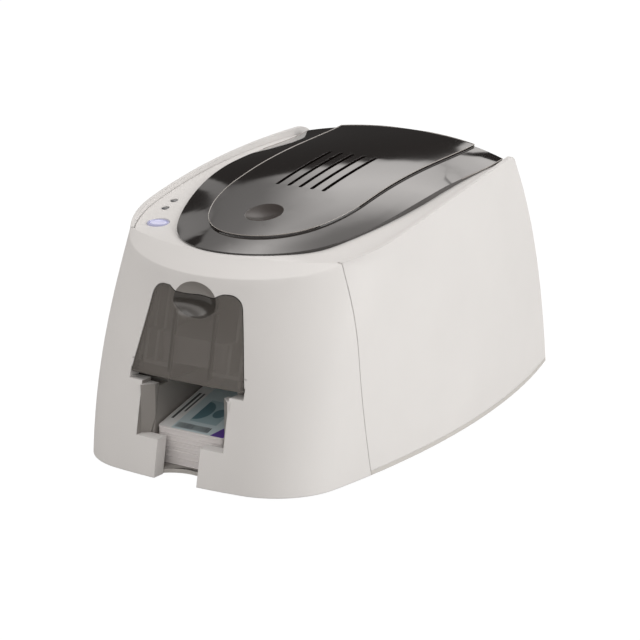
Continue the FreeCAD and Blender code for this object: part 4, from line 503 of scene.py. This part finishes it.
def grown(name, shape, count, step, finish, shift=(0, 0, 0), turn=0.0, seed=1):
    """Copies a shape along a line with the tree, and returns the row as a plain mesh."""
    values = {"Count": count, "Step": step, "Shift": shift, "Turn": turn, "Seed": seed, "Finish": finish}
    holder = placed(name, shape)
    modifier = holder.modifiers.new("grow", "NODES")
    modifier.node_group = rows
    inputs = {item.name: item.identifier for item in rows.interface.items_tree
              if item.item_type == "SOCKET" and item.in_out == "INPUT"}
    for label, value in values.items():
        modifier[inputs[label]] = value
    mesh = bpy.data.meshes.new_from_object(holder.evaluated_get(bpy.context.evaluated_depsgraph_get()))
    bpy.data.objects.remove(holder)
    mesh.name = name
    return mesh


# %% [markdown]
# ## Plastic cards
# A card is a sheet of white vinyl with round corners, punched out, so its rim is a little rounded.
# Each card of a stack lies a little aside of the last, as a printer drops them, so the stack shows
# its layers.


# %% One card, then the stacks
CARD_LONG = 85.6
CARD_THICK = 0.7


def card_mesh(name, wide=54.0, long=CARD_LONG, thick=CARD_THICK, corner=3.2):
    """One card about its centre, with its face up and its edges a little rounded."""
    work = bmesh.new()
    rim = []
    for cx, cy, start in ((1, 1, 0), (-1, 1, 90), (-1, -1, 180), (1, -1, 270)):
        for step in range(9):
            angle = math.radians(start + step * 90 / 8)
            rim.append((cx * (wide / 2 - corner) + corner * math.cos(angle),
                        cy * (long / 2 - corner) + corner * math.sin(angle)))
    layers = []
    for height, inset in ((0, 0.14), (0.12, 0), (thick - 0.12, 0), (thick, 0.14)):
        x_share, y_share = 1 - 2 * inset / wide, 1 - 2 * inset / long
        layers.append([work.verts.new(Vector((x * x_share, y * y_share, height)) * MM) for x, y in rim])
    skinned(work, layers)
    return finish_mesh(work, name, 30)


card_vinyl = plastic("white card vinyl, pressed glossy", "#EFEBEA", 0.3, 0.6, 0.002, 0.1, 0.3, 0.02)
CARD_STEP = 0.8
PRINTED_COUNT = 30
BLANK_COUNT = 24
slope = math.radians(15)
front_line = -172.9
first_height = 8.6
pitch = CARD_STEP / math.cos(slope)
tilted = Matrix.Rotation(slope, 4, "X")
printed = card_mesh("printed card")
printed.transform(Matrix.Translation(Vector((0, CARD_LONG / 2, 0)) * MM))
card_rise = (0, CARD_STEP * math.tan(slope) * MM, CARD_STEP * MM)
stack = grown("printed_card_stack", printed, PRINTED_COUNT, card_rise, card_vinyl,
              (0.25 * MM, 0.35 * MM, 0), seed=7)
stack.transform(Matrix.Translation(Vector((0, front_line, first_height)) * MM) @ tilted)
linked("printed_card_stack", stack, None, "casing", ["printed_cards"])

blank = card_mesh("blank card")
low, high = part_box("blank_cards")
stack = grown("blank_card_stack", blank, BLANK_COUNT, (0, 0, CARD_STEP * MM), card_vinyl,
              (0.25 * MM, 0.15 * MM, 0), seed=5)
stack.transform(Matrix.Translation(Vector((0, (low[1] + high[1]) / 2, low[2]))))
linked("blank_card_stack", stack, None, "casing", ["blank_cards"])

# %% [markdown]
# ## The top card's print
# The print is a plain sample badge: a pale band with bars where words would be, a plain head and
# shoulders sign, a row of bars along one edge, and flat colour in two corners. Each patch is a thin
# layer of ink on the card's face, a few hundredths of a millimetre thick. Real layers keep their
# rims crisp from close by, where a pattern in the card's finish would blur.


# %% Ink patches
def ink(colour):
    """One flat, slightly glossy colour of print."""
    return plastic("dye ink " + colour, colour, 0.3, 0.5, 0.001, 0.05, 0.3, 0.03)


def patch(work, corners, lift, deep=0.02):
    """One flat patch of ink: corners in millimetres on the card's face."""
    skinned(work, [[work.verts.new(Vector((x, y, height)) * MM) for x, y in corners]
                   for height in (lift, lift + deep)])


def square(x_low, y_low, x_high, y_high):
    """Corners of an upright rectangle."""
    return [(x_low, y_low), (x_high, y_low), (x_high, y_high), (x_low, y_high)]


def oval(x, y, wide, long, start=0, end=360, steps=40):
    """Corners of an oval, or of the part of it between two angles in degrees."""
    turns = [math.radians(start + (end - start) * step / steps)
             for step in range(steps + (end - start < 360))]
    return [(x + wide * math.cos(angle), y + long * math.sin(angle)) for angle in turns]


BAR_COUNT = 26
BAR_WIDTHS = (0.35, 0.7, 0.35, 1.05, 0.5)
BAR_GAPS = (0.45, 0.3, 0.6)
edge_bars = []
across_at = -15.0
for order in range(BAR_COUNT):
    wide = BAR_WIDTHS[(order * 7 + order // 3) % 5]
    edge_bars.append(square(across_at, 3.4, across_at + wide, 9.4))
    across_at += wide + BAR_GAPS[(order * 5) % 3]
PRINT = [
    ("#C3D2D6", 0.00, [square(-26.2, 1.4, 26.2, 84.2)]),
    ("#E3E4E3", 0.02, [square(-26.2, 1.4, -16.6, 84.2)]),
    ("#4B9AB4", 0.02, [[(6, 46), (26.2, 40), (26.2, 84.2), (-4, 84.2)]]),
    ("#5B3D93", 0.02, [[(15.5, 1.4), (26.2, 1.4), (26.2, 30), (24, 24)]]),
    ("#9FB7BD", 0.04, [square(-9.5, 13.2, 12.5, 40.5)]),
    ("#5F7F89", 0.06, [oval(6.2, 27, 0.1, 0.1), oval(6.0, 27, 4.6, 5.6),
                       oval(-9.4, 27, 9.6, 11.4, -90, 90)]),
    ("#4A4D50", 0.04, [square(-23.9, 12, -21.9, 46), square(-20.2, 22, -18.8, 46)]),
    ("#3C3E41", 0.04, edge_bars),
]
top_of_stack = first_height + (PRINTED_COUNT - 1) * pitch
ink_gap = 0.001
lifted = Matrix.Translation(Vector((0, 0, CARD_THICK + ink_gap)) * MM)
face_turn = Matrix.Translation(Vector((0, front_line, top_of_stack)) * MM) @ tilted @ lifted
for order, (colour, lift, patches) in enumerate(PRINT):
    work = bmesh.new()
    for corners in patches:
        patch(work, corners, lift)
    mesh = finish_mesh(work, "card_ink_%d" % order)
    mesh.transform(face_turn)
    linked("card_ink_%d" % order, mesh, ink(colour), "casing")
print("ink patches", sum(len(patches) for colour, lift, patches in PRINT))

# %% [markdown]
# ## Turned pieces of the mechanism
# Each roller is ground rubber on a pale nylon hub; shafts have chamfered ends and a clip near one.
# The cleaning roller is blue and tacky, so it looks wet. The motor cans have a pressed rim and a
# recessed end, and the spools are wound film on a white core. Each piece is one mesh of several
# closed profiles, so that its materials meet without a gap.


# %% Turned pieces in several finishes
def lathed(name, body, nodes, centre, parts):
    """One turned piece made of (finish, profile) parts round a shared axis along X."""
    work = bmesh.new()
    for order, (finish, profile) in enumerate(parts):
        known = set(work.faces)
        turned(work, profile, centre, "X")
        for face in set(work.faces) - known:
            face.material_index = order
    mesh = finish_mesh(work, name)
    for finish, profile in parts:
        mesh.materials.append(finish)
    linked(name, mesh, None, body, nodes)


def sleeve(inner, outer, half, chamfer):
    """Closed profile of a tube with chamfered rims."""
    return [(inner, -half), (outer - chamfer, -half), (outer, -half + chamfer), (outer, half - chamfer),
            (outer - chamfer, half), (inner, half), (inner, -half)]


def pin(radius, low, high, chamfer):
    """Profile of a solid pin with chamfered ends."""
    return [(0, low), (radius - chamfer, low), (radius, low + chamfer), (radius, high - chamfer),
            (radius - chamfer, high), (0, high)]


# Radii and half lengths in millimetres, shared by the rollers, shafts and spools
SHAFT_RADIUS = 3
SPINDLE_RADIUS = 2
HUB_RADIUS = 4.3
ROLLER_RADIUS = 6
ROLLER_HALF = 25
SMALL_ROLLER_RADIUS = 5
FIT = 0.02
nylon = plastic("roller hub, white nylon", "#DCDAD2", 0.4, 0.5, 0.004)
sticky_blue = metal("cleaning roller, tacky silicone", "#7FA6BF", 0.28, 0.7, 0.004, (1, 1, 1), 0.0)
for name in ("pickup", "feed", "platen", "rear"):
    centre = middle(name + "_roller")
    lathed(name + "_roller_ground", name + "_set", [name + "_roller"], centre,
           [(roller_rubber, sleeve(HUB_RADIUS + FIT, ROLLER_RADIUS, ROLLER_HALF - 2 * FIT, 0.35)),
            (nylon, sleeve(SHAFT_RADIUS + 3 * FIT, HUB_RADIUS, ROLLER_HALF, 0.2))])
    low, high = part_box(name + "_shaft")
    left_end, right_end = low[0] / MM, high[0] / MM
    clip_low, clip_high = left_end + 0.5, left_end + 0.9
    clip = [(3.01, clip_low), (4.7, clip_low), (4.7, clip_high), (3.01, clip_high), (3.01, clip_low)]
    lathed(name + "_shaft_turned", name + "_set", [name + "_shaft"], [0, centre[1], centre[2]],
           [(shaft_steel, pin(SHAFT_RADIUS, left_end, right_end, 0.4)), (spring_steel, clip)])
for name, body, rubber in (("cleaning_roller", "cleaner", sticky_blue),
                           ("pinch_roller", "pinch", roller_rubber)):
    low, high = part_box(name)
    lathed(name + "_ground", body, [name], middle(name),
           [(rubber, sleeve(SPINDLE_RADIUS + FIT, SMALL_ROLLER_RADIUS, ROLLER_HALF, 0.4)),
            (shaft_steel, pin(SPINDLE_RADIUS, low[0] / MM, high[0] / MM, 0.3))])

motor_steel = metal("motor can, zinc plated", "#A9ABAD", 0.3, 1.2, 0.003, (0.2, 1, 1))
end_cap = plastic("motor end cap, black nylon", "#1A1A1B", 0.45, 0.7, 0.01)
for name, radius in (("drive_motor", 17.5), ("ribbon_motor", 12.0)):
    low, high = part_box(name)
    half = (high[0] - low[0]) / 2 / MM
    can = [(0, -half), (radius - 0.6, -half), (radius, -half + 0.6), (radius, half - 5.2),
           (radius - 0.35, half - 4.9), (radius - 0.35, half - 4.5), (radius, half - 4.2),
           (radius, half - 0.5), (radius - 0.5, half), (radius - 2.2, half), (radius - 2.4, half - 0.6),
           (0, half - 0.6)]
    cap = [(0, half - 0.58), (radius - 3, half - 0.58), (radius - 3.3, half - 0.1), (4, half - 0.1),
           (3.6, half - 0.4), (0, half - 0.4)]
    lathed(name + "_can", "casing", [name], middle(name), [(motor_steel, can), (end_cap, cap)])

# %% Spools and their wound film
wound = metal("wound dye film, edge on", "#3B2238", 0.34, 0.35, 0.03, (6, 1, 1), 0.0)
core_white = plastic("spool core, white nylon", "#E3E1DA", 0.4, 0.6, 0.004)
CORE_RADIUS = 5
for name, body, roll in (("supply_spool", "supply", 14.0), ("takeup_spool", "takeup", 9.0)):
    low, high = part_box(name)
    centre = middle(name)
    parts = [(wound, sleeve(CORE_RADIUS + FIT, roll, 27, 0.15)),
             (core_white, sleeve(SPINDLE_RADIUS + FIT, CORE_RADIUS, 30.2, 0.5)),
             (shaft_steel, pin(SPINDLE_RADIUS, low[0] / MM, high[0] / MM, 0.3))]
    lathed(name + "_wound", body, [name], [0, centre[1], centre[2]], parts)

# %% [markdown]
# ## Feet and screws
# The printer stands on four rubber feet with ring ribs, and four cross head screws hold its frames.
# The feet are turned. The screw's head is turned too, and two crossed arms are cut out of it.

# %% Feet and screws
FEET = [(72.5, -135.5), (-72.5, -135.5), (60.5, 135.5), (-60.5, 135.5)]
foot = [(0, 0.4), (2.2, 0.4), (2.5, 0), (4.1, 0), (4.4, 0.4), (5.5, 0.4), (5.8, 0), (7.3, 0), (7.9, 0.5),
        (8, 1.2), (8, 3), (0, 3)]
work = bmesh.new()
for x, y in FEET:
    turned(work, foot, [x * MM, y * MM, 0])
linked("ribbed_feet", finish_mesh(work, "ribbed_feet"), foot_rubber, "casing", ["rubber_feet"])


def carved(name, solid, cutters):
    """Takes cutter meshes away from a mesh."""
    holder = placed(name, solid)
    tools = []
    for cutter in cutters:
        tool = placed(name + " cutter", cutter)
        modifier = holder.modifiers.new("cut", "BOOLEAN")
        modifier.object = tool
        modifier.operation = "DIFFERENCE"
        modifier.solver = "EXACT"
        tools.append(tool)
    mesh = bpy.data.meshes.new_from_object(holder.evaluated_get(bpy.context.evaluated_depsgraph_get()))
    for thing in tools + [holder]:
        bpy.data.objects.remove(thing)
    return mesh


def plank(work, low, high):
    """A box between two corners in millimetres."""
    skinned(work, [[work.verts.new(Vector((x, y, z)) * MM)
                    for x, y in square(low[0], low[1], high[0], high[1])] for z in (low[2], high[2])])


def planks(name, boxes):
    """A mesh of several boxes."""
    work = bmesh.new()
    for low, high in boxes:
        plank(work, low, high)
    return finish_mesh(work, name, 30)


SCREW_ACROSS = 81
SCREW_ALONG = 183
FIRST_SCREW = (-40.5, -97, 7.8)
work = bmesh.new()
turned(work, [(0, -4.6), (1.1, -4.6), (1.5, -4.2), (1.5, 0), (3, 0), (3, 0.5), (2.75, 1.2), (2.1, 1.65),
              (0, 1.8)], (0, 0, 0), "Z", 40)
recess = [planks("recess arm", [arm])
          for arm in (((-1.7, -0.3, 0.9), (1.7, 0.3, 3)), ((-0.3, -1.7, 0.9), (0.3, 1.7, 3)))]
screw = carved("cross head screw", finish_mesh(work, "cross head screw"), recess)
for label, step in (("screw pair", (SCREW_ACROSS * MM, 0, 0)), ("four screws", (0, SCREW_ALONG * MM, 0))):
    screw = grown(label, screw, 2, step, spring_steel)
screw.transform(Matrix.Translation(Vector(FIRST_SCREW) * MM))
linked("cross_head_screws", screw, None, "casing", ["frame_screws"])

# %% [markdown]
# ## Circuit boards
# Green solder mask hides copper tracks that show as a paler green grid. Chips are black blocks with
# rows of tinned legs, with a row of capacitors and small resistors beside them. The chips' blocks
# are in the solids, so faces above the board get the chip finish; the rest comes from the row tree.


# %% Solder mask and the two boards
def solder_mask():
    """Green lacquer over a grid of paler copper tracks, one to each 12 mm."""
    made = plastic("solder mask over copper", "#1F5A37", 0.28, 0.6, 0.001, 0.1, 0.4, 0.05)
    tree = made.node_tree
    place = add(tree, "ShaderNodeTexCoord").outputs["Object"]
    grid = {"Color1": linear("#1C5233"), "Color2": linear("#215D3B"), "Mortar": linear("#3C8558"),
            "Scale": 1 / (12 * MM), "Mortar Size": 0.035, "Brick Width": 0.7, "Row Height": 0.22}
    tracks = add(tree, "ShaderNodeTexBrick", grid, {"Vector": place})
    tree.links.new(tracks.outputs["Color"], tree.nodes["Principled BSDF"].inputs["Base Color"])
    return made


mask = solder_mask()
chip_black = plastic("chip moulding, black epoxy", "#19191A", 0.5, 0.4, 0.004, 0.1)
BOARD_TOP = 17.6
CONTROL_TOP = 142.1
OVER_BOARD = 0.05
for node, top in (("main_board", BOARD_TOP), ("control_board", CONTROL_TOP)):
    board = dressed(node, node + "_masked", mask)
    board.data.materials.append(chip_black)
    for face in board.data.polygons:
        if face.center.z > (top + OVER_BOARD) * MM:
            face.material_index = 1

leg = planks("chip leg", [((-0.2, -0.9, 0), (0.2, 0, 0.25)), ((-0.2, -0.2, 0), (0.2, 0, 1.6))])
LEG_STEP = 0.9
CHIPS = [(-16.5, 8.25, 43.36, 63.49), (-26.4, -19.8, 37.42, 49.63), (16.5, 24.75, 41.38, 59.53)]
for order, (x_low, x_high, y_low, y_high) in enumerate(CHIPS):
    count = int((x_high - x_low - 1) / LEG_STEP)
    for side_at, y in ((1, y_low - 0.01), (-1, y_high + 0.01)):
        shape = leg.copy()
        if side_at < 0:
            shape.transform(Matrix.Rotation(math.pi, 4, "Z"))
        row = grown("chip legs %d %d" % (order, side_at), shape, count, (LEG_STEP * MM, 0, 0), socket_tin)
        row.transform(Matrix.Translation(Vector((x_low + LEG_STEP, y, BOARD_TOP)) * MM))
        linked("chip_legs_%d_%s" % (order, "front" if side_at > 0 else "rear"), row, None, "casing")

work = bmesh.new()
turned(work, [(0, 0), (3.9, 0), (4, 0.3), (4, 1.2), (3.7, 1.5), (4, 1.8), (4, 8.7), (3.7, 9), (3.2, 8.8),
              (0, 8.8)], (0, 0, 0), "Z", 40)
capacitor_blue = plastic("capacitor sleeve, shrunk film", "#24324E", 0.3, 0.6, 0.002, 0.2, 0.4)
CAPACITORS, CAPACITOR_STEP = 5, 11
caps = grown("capacitor row", finish_mesh(work, "capacitor"), CAPACITORS, (CAPACITOR_STEP * MM, 0, 0),
             capacitor_blue, (0.2 * MM, 0.2 * MM, 0), 0.3, 4)
caps.transform(Matrix.Translation(Vector((-22, 108, BOARD_TOP)) * MM))
linked("capacitor_row", caps, None, "casing")
chip_part = planks("resistor", [((-0.8, -0.4, 0), (0.8, 0.4, 0.5))])
RESISTORS, RESISTOR_STEP = 16, 3.3
for order, y in enumerate((72, 76, 90, 94, 122, 126)):
    bits = grown("resistor row %d" % order, chip_part, RESISTORS, (RESISTOR_STEP * MM, 0, 0),
                 chip_black if order % 2 else socket_tin, (0.5 * MM, 0.5 * MM, 0), 0.2, order)
    bits.transform(Matrix.Translation(Vector((-25, y, BOARD_TOP)) * MM))
    linked("resistor_row_%d" % order, bits, None, "casing")

# %% [markdown]
# ## Dye film
# The ribbon is clear film with a repeat of yellow, magenta and cyan dye panels, one set to a card.
# A ramp with hard steps along the ribbon paints them, since panels cut apart would need joints.


# %% Dye film
FILM_FRONT = -62
FILM_REAR = 78


def dye_film():
    """Film whose dye panels follow each other along its way over the print head."""
    made = plastic("dye film panels", "#8A5A2A", 0.16, 0.8, 0.001, 0.05, 0.6, 0.02)
    tree = made.node_tree
    shader = tree.nodes["Principled BSDF"]
    place = add(tree, "ShaderNodeTexCoord").outputs["Object"]
    along = add(tree, "ShaderNodeSeparateXYZ", {}, {"Vector": place}).outputs["Y"]
    span = add(tree, "ShaderNodeMapRange", {"From Min": FILM_FRONT * MM, "From Max": FILM_REAR * MM},
               {"Value": along}).outputs["Result"]
    ramp = add(tree, "ShaderNodeValToRGB", {}, {"Fac": span})
    ramp.color_ramp.interpolation = "CONSTANT"
    panels = [(0.0, "#C9A317"), (0.3, "#8E1B4C"), (0.62, "#125C86"), (0.9, "#C9A317")]
    ramp.color_ramp.elements[0].color = linear(panels[0][1])
    ramp.color_ramp.elements[1].position = panels[1][0]
    ramp.color_ramp.elements[1].color = linear(panels[1][1])
    for at, colour in panels[2:]:
        ramp.color_ramp.elements.new(at).color = linear(colour)
    tree.links.new(ramp.outputs["Color"], shader.inputs["Base Color"])
    shader.inputs["Alpha"].default_value = 0.9
    return made


film_mesh = frame["nodes"]["ribbon_film"].data
film_mesh.materials.clear()
film_mesh.materials.append(dye_film())
print("dye film faces", len(film_mesh.polygons))

# %% [markdown]
# ## Ribs behind the door
# Two ribs stiffen the door's thin sheet and show through it as darker bars. The sheet is curved, so
# rays from inside the printer find it at several heights, and each rib is a skin over those places.

# %% Ribs inside the feeder door
door_mesh = frame["nodes"]["feeder_door"].data
door_faces = BVHTree.FromPolygons([vertex.co for vertex in door_mesh.vertices],
                                  [tuple(face.vertices) for face in door_mesh.polygons])
RIB_FROM_CENTRE = 16.3
RIB_HEIGHTS = range(73, 116, 7)
RIB_SECTION = [(-0.7, -0.3), (0.7, -0.3), (0.5, 3.2), (-0.5, 3.2)]
INSIDE_PRINTER = -130
work = bmesh.new()
for x in (-RIB_FROM_CENTRE, RIB_FROM_CENTRE):
    rings = []
    for height in RIB_HEIGHTS:
        inner = door_faces.ray_cast(Vector((x, INSIDE_PRINTER, height)) * MM, Vector((0, -1, 0)))[0]
        rings.append([work.verts.new(Vector((inner.x + across * MM, inner.y + deep * MM, inner.z)))
                      for across, deep in RIB_SECTION])
    skinned(work, rings)
linked("door_ribs", finish_mesh(work, "door_ribs", 30), edge_acrylic, "door")

# %% [markdown]
# ## Glint along the raised tongue
# The tongue of the hood ends in a step about a millimetre high, whose polished upper edge catches the
# light. The edges between a flat and such a step are chained, and a hair-thin pale round bead follows
# them: a painted highlight that stands for that glint.


# %% Bead on the tongue's edge
FLAT_RISE = 0.6
WALL_RISE = 0.45


def step_edges(mesh, least, most):
    """Corner pairs of the edges where a flat ends in a step down of a given height in millimetres."""
    owners = {}
    for face in mesh.polygons:
        for key in face.edge_keys:
            owners.setdefault(key, []).append(face)
    kept = []
    for key, faces in owners.items():
        flat = max(faces, key=lambda face: face.normal.z)
        wall = min(faces, key=lambda face: face.normal.z)
        if flat.normal.z < FLAT_RISE or abs(wall.normal.z) > WALL_RISE:
            continue
        corner = mesh.vertices[key[0]].co
        drop = max((corner - mesh.vertices[at].co).dot(flat.normal) for at in wall.vertices) / MM
        if least < drop < most:
            kept.append(key)
    return kept


def chained(pairs):
    """Joins corner pairs end to end into runs of corners."""
    near = {}
    for first, last in pairs:
        near.setdefault(first, []).append(last)
        near.setdefault(last, []).append(first)
    runs = []
    while near:
        at = min(near, key=lambda corner: (len(near[corner]), corner))
        run = [at]
        while near.get(at):
            after = near[at].pop()
            near[after].remove(at)
            run.append(after)
            at = after
        near = {corner: others for corner, others in near.items() if others}
        runs.append(run)
    return runs


def bead(work, line, radius_mm, sides=6):
    """A round tube along a line of points, closed at both ends."""
    rings = []
    for at, point in enumerate(line):
        along = (line[min(at + 1, len(line) - 1)] - line[max(at - 1, 0)]).normalized()
        across = along.cross(Vector((0, 0, 1))).normalized()
        up = across.cross(along)
        turns = [2 * math.pi * step / sides for step in range(sides)]
        rings.append([work.verts.new(point + (across * math.cos(turn) + up * math.sin(turn))
                                     * radius_mm * MM) for turn in turns])
    skinned(work, rings)


# The bead stays below the hood's top, and off its outer rim at the front.
LEAST_STEP, MOST_STEP = 0.4, 1.7
BEAD_RADIUS = 0.32
BELOW_TOP = 0.3
FROM_RIM = 8
SHORTEST_RUN = 40
hood_mesh = skins["hood_cover"].data
low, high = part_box("hood_cover")
work = bmesh.new()
for run in chained(step_edges(hood_mesh, LEAST_STEP, MOST_STEP)):
    corners = [hood_mesh.vertices[at].co for at in run]
    line = [Vector((corner.x, corner.y, min(corner.z, high[2] - BELOW_TOP * MM))) for corner in corners]
    length = sum((last - first).length for first, last in zip(line, line[1:]))
    if length > SHORTEST_RUN * MM and min(point.y for point in line) > low[1] + FROM_RIM * MM:
        bead(work, line, BEAD_RADIUS)
# A pale bead: a painted highlight for the glint of the polished edge
painted_glint = plastic("painted glint, pale bead on the tongue's edge", "#A8A29D", 0.25, 0.8, 0.001, 0.1, 0.5, 0.02)
linked("tongue_glint", finish_mesh(work, "tongue_glint", 60), painted_glint, "hood")

# %% [markdown]
# ## Camera and light
# The camera stands where the photograph was taken from, far off with a long lens, so that lines
# hardly converge. One wide soft box stands low on the right and another hangs above, in a pale
# surround. Only polished pieces see the bright panels that the hood mirrors.

# %% Camera
lens = bpy.data.cameras.new("camera")
lens.lens = 168.75
lens.sensor_width = 36
lens.clip_end = 50
camera = placed("camera", lens)
stand = Vector((1129.1, -1701.4, 659.6)) * MM
back = Vector((0.535, -0.798, 0.2775)).normalized()
side = Vector((0, 0, 1)).cross(back).normalized()
upward = back.cross(side)
camera.matrix_world = Matrix.Translation(stand) @ Matrix((side, upward, back)).transposed().to_4x4()
bpy.context.scene.camera = camera
print("camera", [round(part, 3) for part in stand], "lens", lens.lens)

# %% [markdown]
# ## Floor and surround
# The floor and the surround are white to the camera alone, so that they throw no extra light on the
# casing. The hood is polished, and what it mirrors is the room: a dark one with a bright panel of
# soft edges. Lamps could hang there, but they would also light the casing, so only glossy rays see it.

# %% Floor, world and lamps
floor_mesh = bpy.data.meshes.new("floor")
floor_mesh.from_pydata([(-6, -6, 0), (6, -6, 0), (6, 6, 0), (-6, 6, 0)], [], [(0, 1, 2, 3)])
floor = placed("floor", floor_mesh)
paper = bpy.data.materials.new("white paper floor")
paper.use_nodes = True
sheet = paper.node_tree
matt = sheet.nodes["Principled BSDF"]
matt.inputs["Base Color"].default_value = linear("#C4C4C3")
matt.inputs["Roughness"].default_value = 0.9
seen_by_camera = add(sheet, "ShaderNodeLightPath").outputs["Is Camera Ray"]
WHITE_SHARE = 0.9
white_share = add(sheet, "ShaderNodeMath", {"operation": "MULTIPLY", 1: WHITE_SHARE},
                  {0: seen_by_camera}).outputs["Value"]
white = add(sheet, "ShaderNodeEmission", {"Color": (1, 1, 1, 1), "Strength": 1.1}).outputs["Emission"]
mixed = add(sheet, "ShaderNodeMixShader", {}, {0: white_share, 1: matt.outputs["BSDF"], 2: white})
sheet.links.new(mixed.outputs["Shader"], sheet.nodes["Material Output"].inputs["Surface"])
floor_mesh.materials.append(paper)

world = bpy.data.worlds.new("studio")
bpy.context.scene.world = world
world.use_nodes = True
sky = world.node_tree
sky.nodes.clear()
path = add(sky, "ShaderNodeLightPath").outputs
heading = add(sky, "ShaderNodeTexCoord").outputs["Generated"]
parts = add(sky, "ShaderNodeSeparateXYZ", {}, {"Vector": heading}).outputs
azimuth = add(sky, "ShaderNodeMath", {"operation": "ARCTAN2"},
              {0: parts["Y"], 1: parts["X"]}).outputs["Value"]
height = parts["Z"]


def panel(steps):
    """A bright panel's share: soft steps of (value, low, high, first, last), each times the rest."""
    share = None
    for value, low, high, first, last in steps:
        ends = {"interpolation_type": "SMOOTHSTEP", "From Min": low, "From Max": high, "To Min": first,
                "To Max": last}
        step = add(sky, "ShaderNodeMapRange", ends, {"Value": value}).outputs["Result"]
        if share is None:
            share = step
        else:
            share = add(sky, "ShaderNodeMath", {"operation": "MULTIPLY"},
                        {0: share, 1: step}).outputs["Value"]
    return share


# The pale panel that the hood mirrors ends on a level edge, and is dimmer to the left and far up.
# A second piece of it stands to the right of a gap, and a low third piece to the left. Azimuths are
# in radians, a height is the sine of the angle above the horizon, and a leaning edge follows the
# azimuth plus a share of the height.
LEVEL_EDGE = (height, 0.438, 0.452, 0, 1)
DARK_ROOM = 0.045
PALE_ROOM = 0.7
leaning = {lean: add(sky, "ShaderNodeMath", {"operation": "MULTIPLY_ADD", 1: lean},
                     {0: height, 2: azimuth}).outputs["Value"] for lean in (0.42, 0.46, 0.84)}
main_panel = panel([(leaning[0.42], 2.216, 2.224, 0, 1), (azimuth, 2.028, 2.036, 0, 1),
                    (azimuth, 2.42, 2.445, 1, 0), LEVEL_EDGE])
right_panel = panel([(leaning[0.46], 2.240, 2.246, 1, 0), LEVEL_EDGE])
left_panel = panel([(azimuth, 2.358, 2.368, 0, 1), (leaning[0.84], 2.757, 2.765, 1, 0),
                    (height, 0.340, 0.360, 0, 0.42), (height, 0.440, 0.452, 1, 0)])
wide = add(sky, "ShaderNodeMath", {"operation": "MAXIMUM"},
           {0: main_panel, 1: right_panel}).outputs["Value"]
strong = panel([(height, 0.44, 0.56, 1.3, 1.85), (height, 0.64, 0.80, 1, 0.45),
                (azimuth, 2.2, 2.32, 1, 0.26)])
bright = add(sky, "ShaderNodeMath", {"operation": "MULTIPLY"}, {0: wide, 1: strong}).outputs["Value"]
panels = add(sky, "ShaderNodeMath", {"operation": "MAXIMUM"},
             {0: bright, 1: left_panel}).outputs["Value"]
mirrored = add(sky, "ShaderNodeMath", {"operation": "ADD", 1: DARK_ROOM}, {0: panels}).outputs["Value"]
lit = add(sky, "ShaderNodeMix", {"data_type": "FLOAT", 2: PALE_ROOM},
          {0: path["Is Glossy Ray"], 3: mirrored}).outputs[0]
seen = add(sky, "ShaderNodeMath", {"operation": "MAXIMUM"},
           {0: path["Is Camera Ray"], 1: path["Is Transmission Ray"]}).outputs["Value"]
glow = add(sky, "ShaderNodeMix", {"data_type": "FLOAT", 3: 1.0}, {0: seen, 2: lit}).outputs[0]
warm = add(sky, "ShaderNodeMix", {"data_type": "RGBA", 6: (1.0, 0.965, 0.94, 1), 7: (1, 1, 1, 1)},
           {0: seen}).outputs[2]
surround = add(sky, "ShaderNodeBackground", {}, {"Strength": glow, "Color": warm})
add(sky, "ShaderNodeOutputWorld", {}, {"Surface": surround.outputs["Background"]})


def soft_box(name, place, power, side=1.5, target=(0, 0, 0.1)):
    """A square area lamp that looks at a point, in metres and watts."""
    lamp = bpy.data.lights.new(name, "AREA")
    lamp.shape = "RECTANGLE"
    lamp.size = lamp.size_y = side
    lamp.energy = power
    turn = (Vector(target) - Vector(place)).to_track_quat("-Z", "Y")
    placed(name, lamp).matrix_world = Matrix.Translation(place) @ turn.to_matrix().to_4x4()


soft_box("key soft box", (2.0, 0.55, 0.9), 20)
soft_box("top soft box", (-0.3, -0.4, 2.6), 8)
bpy.context.scene.view_settings.view_transform = "Standard"
print("lamps", len(bpy.data.lights), "world nodes", len(sky.nodes))

# %% Finish
import json
